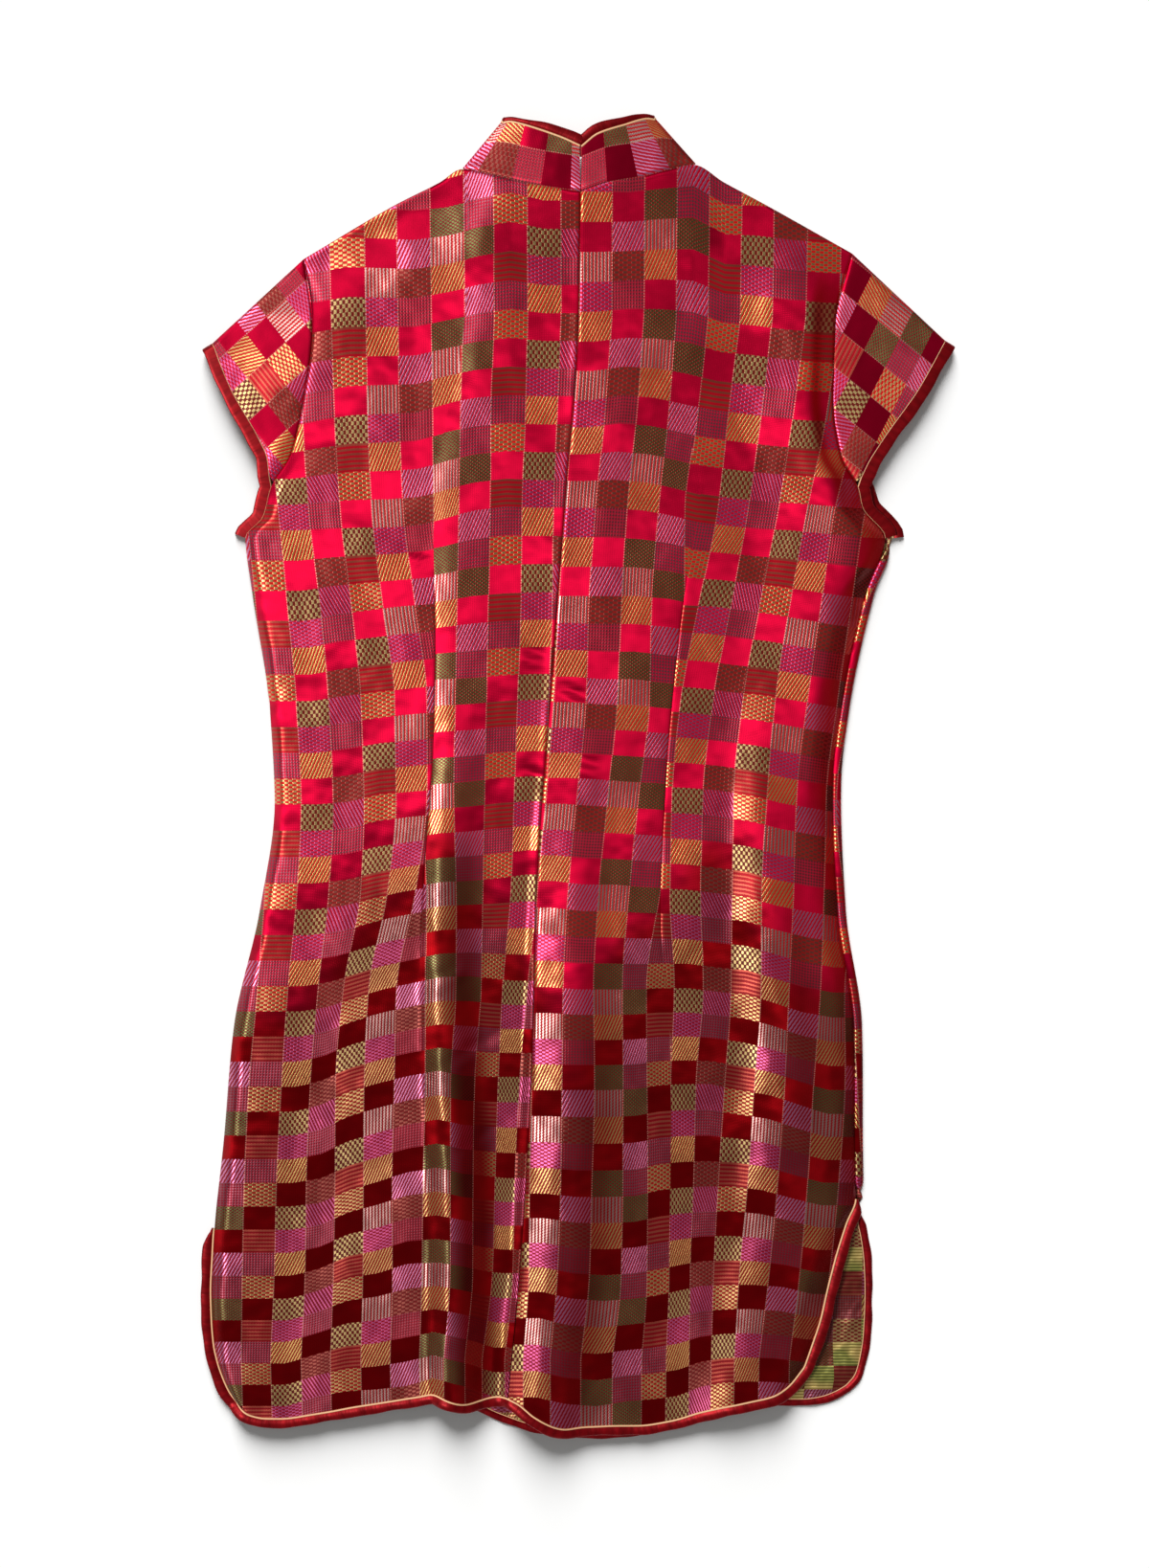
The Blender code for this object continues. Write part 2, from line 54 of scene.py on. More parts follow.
MM = 1000  # millimetres to a metre
PLAN = np.array((9.831, 23.989, 0.101))  # from the dress's plan to the row's frame
EYE = np.array((0.0, 247.6, 1479.4))
TILT = math.radians(9.5)  # of the view, towards the collar
LENS = 44.24
ROOM_LIGHT = 0.21
LIGHTS = (  # place and aim in metres, sides of the light, watts
    ("softbox_corner", (-2.4, 2.7, 3.5), (0.0, 0.2, 0.0), (1.9, 1.9), 120),
    ("window_left", (-2.32, -0.12, 3.36), (-0.02, 0.05, 0.0), (0.57, 1.08), 118),
)
LAMP_PLACE = (-0.5, 4.7, 2.1)  # the low lamp's direction from the middle of the table
LAMP_WIDTH = math.radians(32)  # how much of the view from the table it fills
LAMP_STRENGTH = 6.6
TABLE_SIDE = 12  # metres


def linear(code):
    """Scene-linear RGBA of an sRGB hex colour."""
    parts = [int(code[k : k + 2], 16) / 255 for k in (0, 2, 4)]
    return (*[c / 12.92 if c <= 0.04045 else ((c + 0.055) / 1.055) ** 2.4 for c in parts], 1.0)


def node(tree, kind, values, output=0, **settings):
    """One node's output. Values are its inputs by number or name, each a socket to link or a constant."""
    made = tree.nodes.new("ShaderNode" + kind)
    for key, value in settings.items():
        setattr(made, key, value)
    for key, value in values.items():
        if isinstance(value, bpy.types.NodeSocket):
            tree.links.new(value, made.inputs[key])
        else:
            made.inputs[key].default_value = value
    return made.outputs[output]


def material(name):
    """A new material, its nodes and the shader that gives its looks."""
    made = bpy.data.materials.new(name)
    made.use_nodes = True
    return made, made.node_tree, made.node_tree.nodes["Principled BSDF"]


bpy.ops.object.camera_add(location=(EYE + PLAN) / MM, rotation=(-TILT, 0, 0))
scene.camera = bpy.context.object
scene.camera.data.lens = LENS
scene.camera.data.clip_end = 20

world = bpy.data.worlds.new("room")
scene.world = world
world.use_nodes = True
world.node_tree.nodes["Background"].inputs["Color"].default_value = linear("FBFAF8")
world.node_tree.nodes["Background"].inputs["Strength"].default_value = ROOM_LIGHT
all_but_table, table_alone = (bpy.data.collections.new(name) for name in ("all_but_table", "table_alone"))
for name, place, aim, size, energy in LIGHTS:
    bpy.ops.object.light_add(type="AREA", location=place)
    light = bpy.context.object
    light.name = name
    light.rotation_euler = (Vector(place) - Vector(aim)).to_track_quat("Z", "Y").to_euler()
    light.data.shape = "RECTANGLE"
    light.data.size, light.data.size_y = size
    light.data.energy = energy
    light.light_linking.receiver_collection = all_but_table
bpy.ops.object.light_add(type="SUN", location=LAMP_PLACE)
lamp = bpy.context.object
lamp.name = "table_lamp"
lamp.rotation_euler = lamp.location.to_track_quat("Z", "Y").to_euler()
lamp.data.angle = LAMP_WIDTH
lamp.data.energy = LAMP_STRENGTH
lamp.light_linking.receiver_collection = table_alone

bpy.ops.mesh.primitive_plane_add(size=TABLE_SIDE)
floor = bpy.context.object
floor.name = "floor"
floor.data.transform(floor.matrix_world)
floor.matrix_world.identity()
# Matt white laminate: it hardly shines, and a faint grain keeps it from looking blank.
laminate, tree, shader = material("matt_table")
grain = node(tree, "TexNoise", {"Scale": 260.0, "Detail": 3.0})
tone = node(tree, "Mix", {0: grain, 6: linear("FAFAF9"), 7: linear("FFFFFF")}, 2, data_type="RGBA")
tree.links.new(tone, shader.inputs["Base Color"])
shader.inputs["Roughness"].default_value = 0.9
floor.data.materials.append(laminate)
table_alone.objects.link(floor)
all_but_table.objects.link(floor)
all_but_table.collection_objects[0].light_linking.link_state = "EXCLUDE"
scene.view_settings.view_transform = "Standard"

# ---- Back panels ------------------------------------------------------------------------------------
# Two panels of yarn-dyed check brocade, sewn down the centre back with a concealed zip, each with a long
# waist dart. The cloth is a two-sided sheet whose skirt lies in soft lengthwise folds.

CLOTH = 0.8  # thickness of the cloth
SIDE_LEFT = (  # x, y, z up the side edge from the hem corner
    (-277, -512, 3.4), (-281.5, -506, 3.4), (-287.5, -491, 3.3), (-291.5, -477, 3.2), (-294, -462, 3.2),
    (-295, -430, 3.2), (-291, -369, 3.0), (-281, -289, 2.2), (-270, -194, 2.2), (-247, -100, 2.2),
    (-233, -8, 2.2), (-235, 59, 2.2), (-246, 148, 2.5), (-250, 190, 3.2), (-236, 206, 4.6),
    (-229, 228, 7.4), (-213, 253, 8.8), (-203, 292, 9.4), (-195, 345, 8.4), (-201, 396, 2.4),
)
SIDE_RIGHT = (
    (187, -481, 7.0), (199, -441, 7.0), (207, -402, 6.4), (218.5, -359, 4.6), (226, -338, 3.8),
    (224.5, -289, 3.7), (221.5, -194, 3.7), (206.5, -100, 3.7), (200.5, 3, 3.7), (205.5, 59, 3.7),
    (222.5, 148, 3.7), (236, 190, 3.8), (218, 213, 5.4), (214, 228, 7.4), (201, 250, 8.8),
    (193.5, 295, 9.4), (194, 345, 8.4), (206, 400, 2.4),
)
CENTRE_BACK = (  # x, y up the seam
    (-54, -505), (-42, -372), (-33, -212), (-29, -76), (-18, 72), (-6, 228), (3, 345), (4.5, 443),
)
HEM_LEFT = (  # x, y from the side in
    (-277, -512), (-272, -517), (-263, -521.5), (-253, -523.5), (-240, -523.5), (-217, -520.5), (-182, -514),
    (-160, -510), (-128, -504), (-114, -501), (-104, -503), (-85, -508), (-54, -505),
)
HEM_RIGHT = (
    (187, -481), (173.5, -496), (158, -503), (141, -507), (122, -511.5), (104, -518), (76, -527.5),
    (52, -531), (-3, -531), (-32, -518), (-46, -508), (-54, -505),
)
TOP_LEFT = (  # x, y along the shoulder and the neck
    (-201, 396), (-132, 435), (-99, 451), (-83, 460), (-62, 456), (-34, 449), (4.5, 443),
)
TOP_RIGHT = (
    (206, 400), (141, 435), (110, 451), (88, 463), (69, 459), (50, 454), (26, 450), (4.5, 443),
)
TOP_HEIGHT = (  # share of the way in, z
    (0, 2.4), (0.1, 2.2), (0.45, 2.2), (0.59, 4.2), (0.72, 8.5), (0.85, 10.5), (1, 11.5),
)
# y, and the dart line's share of the way in from the side.
DART_LEFT = ((-520, 0.73), (-430, 0.72), (-330, 0.69), (-217, 0.64), (-100, 0.60), (0, 0.59), (450, 0.59))
DART_RIGHT = ((-520, 0.57), (-430, 0.56), (-217, 0.57), (-100, 0.59), (0, 0.58), (250, 0.58), (450, 0.584))
# A fold line: share of the way in, how much of the dart's share is added to it, z where the cloth is flat
# and where it is folded, and which row of FOLDED it follows.
FOLDS_LEFT = (
    (0.04, 0, 9.8, 10.9, 0), (0.14, 0, 10.4, 11.2, 0), (0.0, 0.55, 10.6, 10.8, 0), (0.0, 0.97, 11.4, 13.2, 0),
    (0.066, 1, 13.0, 23.5, 0), (0.22, 1, 12.0, 6.5, 0), (0.962, 0, 11.0, 7.0, 0), (1.0, 0, 12.0, 13.0, 0),
)
FOLDS_RIGHT = (
    (0.05, 0, 12.0, 9.5, 1), (0.11, 0, 17.0, 13.0, 1), (0.23, 0, 13.8, 20.0, 1), (0.39, 0, 9.0, 10.0, 1),
    (0.0, 0.98, 10.6, 8.0, 0), (0.16, 1, 12.0, 10.0, 0), (0.89, 0, 12.5, 22.0, 0), (0.97, 0, 12.0, 17.0, 0),
    (1.0, 0, 12.0, 14.0, 0),
)
FOLDED = (  # y, how fully the cloth is folded: from the centre back and the left dart, and over the right hip
    ((-520, 0.8), (-430, 1.0), (-330, 1.0), (-217, 0.75), (-100, 0.4), (0, 0.12), (90, 0.0)),
    ((-520, 0.35), (-430, 0.35), (-350, 0.5), (-270, 0.95), (-180, 1.0), (-90, 0.9), (0, 0.5), (90, 0.0)),
)
CREASES = (  # two ends in plan, width, height: where seams and the dart's tip pull the cloth
    ((-134, 185), (-108, 178), 3.5, -1.1), ((-130, 178), (-108, 171), 3.0, 0.8),
    ((-41, 108), (-20, 101), 3.2, -1.0), ((-44, 101), (-22, 94), 3.0, 0.8),
    ((-44, 14), (-21, 6), 3.2, -1.2), ((-46, 5), (-22, -1), 3.2, 0.9),
    ((-15, 79), (14, 68), 3.2, -1.3), ((-15, 72), (12, 62), 3.2, 0.9),
    ((-14, 26), (24, 15), 3.4, -1.2), ((-12, 19), (20, 9), 3.0, 0.8),
    ((209, 149), (230, 170), 4.0, -1.4), ((202, 150), (222, 172), 4.0, 1.0),
    ((-246, 52), (-224, 75), 4.0, -1.4), ((-244, 64), (-228, 84), 3.5, 0.9),
    ((-122, -155), (-88, -140), 3.6, -1.3), ((-118, -163), (-84, -147), 3.4, 1.0),
    ((-106, -219), (-36, -188), 4.0, -1.2), ((-104, -228), (-52, -204), 3.6, 1.0),
    ((-32, -106), (16, -122), 3.6, -1.2), ((-32, -115), (10, -129), 3.4, 0.9),
    ((-104, -296), (-48, -270), 4.2, -1.2), ((-36, -262), (6, -276), 4.0, -1.1),
    ((-120, 40), (-94, 52), 3.4, -0.9), ((52, -60), (84, -48), 3.6, -1.0),
)
# Rows in each stretch of a panel, from the hem up, and y where the first four end.
ROWS = (("slit", 48), ("waist", 96), ("underarm", 54), ("sleeve", 12), ("shoulder", 48))
SLIT_TOP, WAIST_Y, UNDERARM_Y, SLEEVE_Y = -338, 0, 190, 232
DART_ENDS = (-158, 188)  # y of its two tips
DART_FADE = 60  # over which a dart's groove fades at each end
DART_GROOVE = (1.1, 0.7)  # width and depth
SEAM_FOOT_Y, NECK_Y = -420, 300  # the seams down the centre back and round the neck lie above these
YOKE_EASE = 60  # below the shoulder, over which the folds give way to TOP_HEIGHT
TURN = (1.8, 0.9)  # how wide the cloth rounds down into a seam, and how deep
# The check's lines on the cloth as the dress lies, dropped to the table from the eye. A column row is y,
# then x of the column edges up to the dart's line and those past it. The first edge is named.
COLUMNS_LEFT = (
    (354, (-253, -230, -206, -182, -156, -132, -107), (-107, -83, -60, -35, -10)),
    (283, (-253, -230, -205, -181, -156, -132, -107), (-107, -86, -63, -37, -13)),
    (210, (-249, -225, -202, -178, -154, -130, -107), (-107, -88, -64, -40, -16)),
    (139, (-244, -220, -195, -171, -147, -122, -98), (-114, -90, -66, -41, -17)),
    (65, (-240, -215, -190, -165, -139, -114, -90), (-117, -92, -68, -44, -20)),
    (-10, (-238, -213, -188, -164, -139, -115, -90), (-118, -94, -70, -47, -23)),
    (-86, (-243, -218, -193, -168, -147, -125, -102), (-116, -93, -72, -50, -29)),
    (-164, (-251, -227, -203, -183, -163, -141, -118), (-118, -94, -74, -57, -37)),
    (-243, (-260, -234, -211, -191, -168, -144, -119), (-119, -99, -80, -61, -44)),
    (-323, (-266, -240, -216, -193, -170, -147, -122), (-122, -100, -82, -64, -48)),
    (-405, (-270, -244, -219, -196, -172, -148, -124), (-124, -101, -83, -67, -50)),
    (-478, (-273, -249, -224, -200, -175, -151, -127), (-127, -107, -90, -76, -57)),
)
COLUMNS_RIGHT = (
    (354, (4, 28, 52, 76, 100), (100, 124, 148, 173, 198, 221, 243, 267)),
    (283, (-1, 23, 47, 71, 93), (93, 116, 141, 165, 190, 214, 238, 261)),
    (212, (-7, 16, 40, 64, 84), (84, 109, 132, 155, 177, 198, 221, 245)),
    (139, (-12, 11, 36, 59, 84), (71, 95, 120, 142, 165, 189, 212, 236)),
    (65, (-16, 9, 33, 58, 82), (58, 82, 107, 130, 155, 180, 203, 227)),
    (-10, (-22, 2, 26, 50, 75), (51, 76, 100, 124, 150, 173, 196, 221)),
    (-86, (-29, -5, 19, 43, 67), (51, 75, 99, 124, 147, 172, 196, 220)),
    (-164, (-33, -9, 15, 38, 57), (57, 79, 102, 124, 148, 170, 195, 214)),
    (-243, (-34, -10, 16, 39, 58), (58, 77, 97, 120, 144, 168, 191, 216)),
    (-323, (-36, -11, 14, 39, 59), (59, 77, 96, 116, 140, 164, 188, 213)),
    (-405, (-37, -14, 12, 38, 59), (59, 77, 94, 113, 134, 158, 183, 207)),
    (-478, (-42, -20, 5, 31, 55), (55, 75, 94, 112, 131, 151, 176, 198)),
)
EDGE_LEFT, EDGE_RIGHT = (-2.5, 3.5), (9.5, 13.5)
# A weft row is its number, then y of the row's upper edge at the middle of each column from the first.
WEFTS_LEFT = (
    (-3.5, (340, 343, 347, 347, 347, 352, 357, 360, 357)),
    (-0.5, (273, 278, 282, 283, 284, 291, 295, 297, 296)),
    (3.5, (196, 197, 198, 198, 200, 205, 211, 214, 213)),
    (6.5, (127, 132, 135, 138, 140, 142, 146, 148, 149)),
    (9.5, (65, 69, 72, 75, 77, 82, 83, 85, 86)),
    (13.5, (-16, -14, -8, -6, -4, 0, 2, 5, 6)),
    (17.5, (-100, -97, -91, -86, -82, -78, -77, -75, -72)),
    (21.5, (-183, -179, -172, -165, -160, -155, -154, -156, -158)),
    (25.5, (-266, -260, -249, -242, -236, -232, -236, -237, -237)),
    (29.5, (-346, -343, -332, -325, -317, -313, -318, -320, -322)),
    (33.5, (-425, -418, -407, -403, -395, -394, -397, -401, -403)),
    (37.5, (-500, -492, -486, -484, -480, -474, -479, -483, -489)),
)
WEFTS_RIGHT = (
    (-3.5, (358, 360, 360, 358, 350, 348, 345, 343, 342, 341, 340)),
    (-0.5, (293, 297, 295, 290, 286, 283, 280, 278, 277, 276, 275)),
    (3.5, (213, 213, 211, 207, 202, 199, 197, 196, 194, 192, 190)),
    (6.5, (146, 146, 146, 144, 139, 138, 135, 132, 128, 124, 121)),
    (9.5, (84, 82, 82, 79, 77, 75, 72, 70, 66, 62, 58)),
    (13.5, (5, 4, 2, 1, -2, -3, -5, -9, -15, -19, -23)),
    (17.5, (-77, -80, -80, -82, -83, -84, -87, -90, -97, -102, -106)),
    (21.5, (-163, -165, -165, -165, -164, -164, -167, -169, -176, -184, -188)),
    (25.5, (-248, -248, -248, -247, -244, -243, -243, -248, -252, -260, -268)),
    (29.5, (-335, -338, -338, -337, -332, -330, -329, -329, -332, -339, -345)),
    (33.5, (-419, -425, -427, -425, -422, -418, -414, -413, -413, -415, -421)),
    (36.5, (-488, -494, -496, -492, -490, -487, -480, -477, -476, -477, -480)),
)


def curve(table, at, key=0, value=1):
    """Smooth value of one column where another column is `at`, with no overshoot between rows."""
    rows = sorted(table, key=lambda row: row[key])
    x = np.array([row[key] for row in rows], float)
    y = np.array([row[value] for row in rows], float)
    step = np.diff(x)
    rise = np.diff(y) / step
    slope = np.concatenate([rise[:1], np.zeros(len(x) - 2), rise[-1:]])
    same_way = rise[:-1] * rise[1:] > 0
    total = np.where(same_way, rise[:-1] + rise[1:], 1)
    slope[1:-1] = np.where(same_way, 2 * rise[:-1] * rise[1:] / total, 0)
    at = np.clip(np.asarray(at, float), x[0], x[-1])
    i = np.clip(np.searchsorted(x, at) - 1, 0, len(step) - 1)
    t = (at - x[i]) / step[i]
    start = ((1 + 2 * t) * y[i] + t * step[i] * slope[i]) * (1 - t) ** 2
    end = ((3 - 2 * t) * y[i + 1] - (1 - t) * step[i] * slope[i + 1]) * t**2
    return start + end


def smooth(t):
    """A share eased at both ends."""
    t = np.clip(t, 0, 1)
    return t * t * (3 - 2 * t)


def unit(vectors):
    """The vectors at a length of one."""
    return vectors / np.maximum(np.linalg.norm(vectors, axis=-1, keepdims=True), 1e-9)


def travel(points):
    """Distance along each line of points, from its first point to each."""
    lengths = np.linalg.norm(np.diff(points, axis=-2), axis=-1)
    return np.concatenate([np.zeros((*lengths.shape[:-1], 1)), lengths.cumsum(-1)], -1)


def through(table, share):
    """Points at shares of the way through a table of points."""
    rows = [(k / (len(table) - 1), *row) for k, row in enumerate(table)]
    return np.stack([curve(rows, share, 0, column) for column in (1, 2, 3)], -1)


def steps(count, first=False, last=False):
    """Even steps from 0 to 1, with two narrow ones more at an end that is sewn."""
    at = list(range(count + 1)) + [0.15, 0.5] * first + [count - 0.5, count - 0.15] * last
    return np.array(sorted(at)) / count


def levels(low, high):
    """Shares of the way up from low to high at which a panel's rows are cut."""
    stops = {"slit": SLIT_TOP, "waist": WAIST_Y, "underarm": UNDERARM_Y, "sleeve": SLEEVE_Y, "shoulder": high}
    at, start = [low], low
    for name, count in ROWS:
        at += list(start + (stops[name] - start) * steps(count, last=name == "shoulder")[1:])
        start = stops[name]
    return (np.array(at) - low) / (high - low)


def row_of(name):
    """Index of the row that ends the named stretch."""
    names = [row[0] for row in ROWS]
    return sum(row[1] for row in ROWS[: names.index(name) + 1])


def blend(side, inner, hem, top, u, v):
    """Plan points of a four-sided panel, u from the side in and v from the hem up."""
    u1, v1 = u[..., None], v[..., None]
    low, high = ((1 - u1) * side(end) + u1 * inner(end) for end in (0.0, 1.0))
    corners = (1 - v1) * low + v1 * high
    return (1 - v1) * hem(u) + v1 * top(u) + (1 - u1) * side(v) + u1 * inner(v) - corners


def up_edge(table, shift=0.0):
    """An edge that runs up a panel, as a function of the share of the way up."""
    low, high = table[0][1], table[-1][1]

    def at(share):
        y = low + np.asarray(share, float) * (high - low)
        return np.stack([curve(table, y, 1, 0) + shift, y], -1)

    return at


def across_edge(table, shift=0.0):
    """An edge that runs across a panel, as a function of the share of the way across."""
    first, last = table[0][0], table[-1][0] + shift

    def at(share):
        x = first + np.asarray(share, float) * (last - first)
        return np.stack([x, curve(table, x)], -1)

    return at


def rounding(off):
    """How far the cloth dips where it is this far from a seam."""
    return TURN[1] * np.clip(1 - off / TURN[0], 0, 1) ** 2


def turned_in(grid, edge, where=1):
    """Rounds the cloth down into a seam at its edge."""
    grid[..., 2] -= rounding(np.linalg.norm(grid[..., :2] - edge[..., :2], axis=-1)) * where


def crease(grid, line, width, height):
    """Adds a soft ridge, or a groove where height is negative, along a line of plan points."""
    for (x0, y0), (x1, y1) in zip(line, line[1:]):
        length = math.hypot(x1 - x0, y1 - y0)
        ux, uy = (x1 - x0) / length, (y1 - y0) / length
        dx, dy = grid[..., 0] - x0, grid[..., 1] - y0
        along = (dx * ux + dy * uy) / length
        off = (dx * uy - dy * ux) / width
        grid[..., 2] += height * np.exp(-off * off) * np.clip(1 - (2 * along - 1) ** 2, 0, 1)


def back_panel(side, hem, top, dart_line, folds, counts, gap):
    """Grid of a back panel from its side in, and the column that lies on its dart.

    counts has the number of columns up to the dart and past it.
    """
    shares = levels(side[0][1], side[-1][1])
    outer, inner = up_edge(side), up_edge(CENTRE_BACK, gap)
    y_middle = (outer(shares)[:, 1] + inner(shares)[:, 1]) / 2
    dart = curve(dart_line, y_middle)
    before, after = (steps(count, True, True) for count in counts)
    u = np.concatenate([dart[:, None] * before[:-1], dart[:, None] + (1 - dart[:, None]) * after], 1)
    v = np.repeat(shares[:, None], u.shape[1], 1)
    plan = blend(outer, inner, across_edge(hem, gap), across_edge(top, gap), u, v)
    edge = curve(side, outer(v)[..., 1], 1, 2)
    share, of_dart, above, below, which = np.array(folds).T
    full = np.stack([curve(table, y_middle) for table in FOLDED], 1)[:, which.astype(int)]
    # At each row the folds are a curve through their points from the side edge in.
    folded = np.stack([
        curve([(0, edge[i, 0]), *zip(share + of_dart * dart[i], above + (below - above) * full[i])], u[i])
        for i in range(len(shares))
    ])
    crown = curve(TOP_HEIGHT, u)
    height = crown + (folded - crown) * smooth((1 - v) * (side[-1][1] - side[0][1]) / YOKE_EASE)
    height[:, 0] = edge[:, 0]
    grid = np.concatenate([plan, height[..., None]], -1)
    line = len(before) - 1
    off = np.linalg.norm(grid[..., :2] - grid[:, line : line + 1, :2], axis=-1)
    y = grid[..., 1]
    taken = smooth((y - DART_ENDS[0]) / DART_FADE) * smooth((DART_ENDS[1] - y) / DART_FADE)
    grid[..., 2] -= DART_GROOVE[1] * np.exp(-np.abs(off) / DART_GROOVE[0]) * taken
    for *ends, width, height in CREASES:
        crease(grid, ends, width, height)
    turned_in(grid, grid[:, :1], y > SLIT_TOP)
    turned_in(grid, grid[:, -1:], y > SEAM_FOOT_Y)
    turned_in(grid, grid[-1:], y > NECK_Y)
    return grid, line


def chart(grid, columns, first, wefts, centre, past_dart):
    """Check coordinates of a panel's points, whole numbers at the middle of a cell.

    first has the check's column at the first column edge, up to the dart's line and past it, and centre is
    its column at the first height of each weft row.
    """
    ground = EYE + (grid - EYE) * (EYE[2] / (EYE[2] - grid[..., 2:]))
    x, y = ground[..., 0], ground[..., 1]
    table = [(row[0], *row[1 + past_dart]) for row in columns]
    edges = np.stack([curve(table, y, 0, c) for c in range(1, len(table[0]))])
    i = np.clip((x >= edges).sum(0) - 1, 0, len(edges) - 2)[None]
    low, high = np.take_along_axis(edges, i, 0)[0], np.take_along_axis(edges, i + 1, 0)[0]
    column = first[past_dart] + i[0] + (x - low) / (high - low)
    lines = np.stack([np.interp(column, centre + np.arange(len(ys)), ys) for _, ys in wefts])
    numbers = np.array([number for number, _ in wefts])
    j = np.clip((y <= lines).sum(0) - 1, 0, len(lines) - 2)[None]
    low, high = np.take_along_axis(lines, j, 0)[0], np.take_along_axis(lines, j + 1, 0)[0]
    between = numbers[j[0] + 1] - numbers[j[0]]
    return np.stack([column, numbers[j[0]] + (y - low) / (high - low) * between], -1)


def sewn(name, points, faces, lie_name, lies, materials, crisp):
    """A piece of the dress from its points and faces, with how each face corner lies on its materials."""
    mesh = bpy.data.meshes.new(name)
    mesh.from_pydata(((points + PLAN) / MM).tolist(), [], faces)
    mesh.uv_layers.new(name=lie_name).data.foreach_set("uv", lies.reshape(-1).astype(np.float32))
    for made in materials:
        mesh.materials.append(made)
    mesh.polygons.foreach_set("use_smooth", np.ones(len(faces), bool))
    mesh.set_sharp_from_angle(angle=math.radians(crisp))
    piece = bpy.data.objects.new(name, mesh)
    scene.collection.objects.link(piece)
    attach(piece, "root")
    return piece


def cloth(name, grid, charts, seam, thick, face, wrong):
    """A two-sided sheet about a grid. Its lie changes from the first chart to the second at column seam."""
    rows, columns = grid.shape[:2]
    square = unit(np.cross(np.gradient(grid, axis=1), np.gradient(grid, axis=0)))
    count = rows * columns
    points = np.concatenate([(grid + side * square * thick / 2).reshape(-1, 3) for side in (1, -1)])
    points[:, 2] = np.maximum(points[:, 2], 0)
    a = (np.arange(rows - 1)[:, None] * columns + np.arange(columns - 1)).reshape(-1)
    over = np.stack([a, a + 1, a + columns + 1, a + columns], 1)
    # The rim runs once round the grid, and a narrow wall joins the two sides along it.
    rim = list(range(columns)) + [i * columns + columns - 1 for i in range(1, rows)]
    rim += [(rows - 1) * columns + j for j in range(columns - 2, -1, -1)]
    rim += [i * columns for i in range(rows - 2, 0, -1)]
    rim = np.array(rim)
    after = np.roll(rim, -1)
    turned = np.stack([after, rim, rim + count, after + count], 1)
    faces = np.concatenate([over, over[:, ::-1] + count, turned])
    lies = np.array([np.tile(c.reshape(-1, 2), (2, 1)) for c in charts])
    column = np.concatenate([a % columns, a % columns, np.minimum(rim % columns, after % columns)])
    past = (column >= seam).astype(int)[:, None]
    piece = sewn(name, points, faces.tolist(), "chart", lies[past, faces], (face, wrong), 50)
    sides = np.repeat(np.array([0, 1, 0], np.int32), (len(over), len(over), len(turned)))
    piece.data.polygons.foreach_set("material_index", sides)
    return piece


# Each weave: ground yarn and how metallic it looks, figure yarn and the same, its two sets of thread
# lines as (across, down, across, down) lines to a cell, how strongly each set shows and the level it is
# cut at, and its roughness. Silk and gilt yarns lie so straight that they reflect in their own colour.
# The real threads lie 0.2 mm apart, too fine to show: the lines are floats of many threads, drawn 1.2 to
# 3.4 mm apart.
WEAVES = {
    "satin": ("AA0028", 0.85, "B40431", 0.85, (15, 0, 0, 17), (0.10, 0.05, -0.22), 0.46),
    "mesh": ("6A1812", 0.2, "B89C68", 0.85, (6, 3.5, 6, -3.5), (0.8, 0.8, -0.1), 0.39),
    "stripe": ("AC0A1C", 0.4, "A4483A", 0.8, (0, 6, 11, 0), (1.0, 0.15, -0.12), 0.41),
    "gilt_squiggle": ("C41414", 0.2, "C69E68", 0.95, (4, 6, 4, -6), (0.5, 0.5, -0.08), 0.37),
    "magenta": ("BE0028", 0.3, "BC5280", 0.85, (4, 7, 5, -7), (0.6, 0.6, -0.03), 0.39),
    "orange_twill": ("B82014", 0.2, "CCA266", 0.9, (9, 3.6, 3, 8), (0.7, 0.2, -0.2), 0.35),
    "gilt_twill": ("BC1414", 0.2, "DCB46C", 0.95, (9, 3.6, 3, 8), (0.75, 0.2, -0.12), 0.35),
    "pink_twill": ("B40020", 0.3, "CE7CA4", 0.9, (9, 3.6, 4, 7), (0.75, 0.2, -0.1), 0.37),
    "pink_back_twill": ("A8001E", 0.3, "C45A84", 0.9, (9, -3.6, 4, 7), (0.75, 0.2, -0.08), 0.37),
    "rib": ("B81C20", 0.3, "BE9690", 0.95, (9, 0, 5, 9), (0.75, 0.35, -0.05), 0.37),
    "brown": ("8A1A18", 0.2, "8E4A40", 0.85, (3.5, 6, 4, -6), (0.6, 0.6, -0.1), 0.41),
    "olive": ("7A1A18", 0.2, "62643C", 0.9, (7, 8, 7, -8), (0.6, 0.6, 0.05), 0.37),
    "mauve": ("B40A30", 0.4, "8C4854", 0.85, (11, 0, 0, 9), (0.45, 0.45, 0.0), 0.41),
    "maroon": ("B01C34", 0.4, "883A44", 0.85, (11, 0, 0, 9), (0.45, 0.45, -0.1), 0.41),
}
REPEAT = (  # four rows of the check, eight columns each
    "satin", "mesh", "magenta", "maroon", "satin", "pink_twill", "mauve", "gilt_twill",
    "brown", "stripe", "orange_twill", "satin", "olive", "mauve", "gilt_squiggle", "satin",
    "pink_back_twill", "gilt_squiggle", "satin", "pink_twill", "rib", "olive", "satin", "mesh",
    "mauve", "satin", "rib", "brown", "orange_twill", "satin", "stripe", "magenta",
)
MOST_THREADS, MOST_SHOWN = 20, 2.0  # no weave has more thread lines to a cell, or shows a set more strongly
SATIN_ROUGHNESS = 0.44  # every satin is rougher than this, and no other weave is


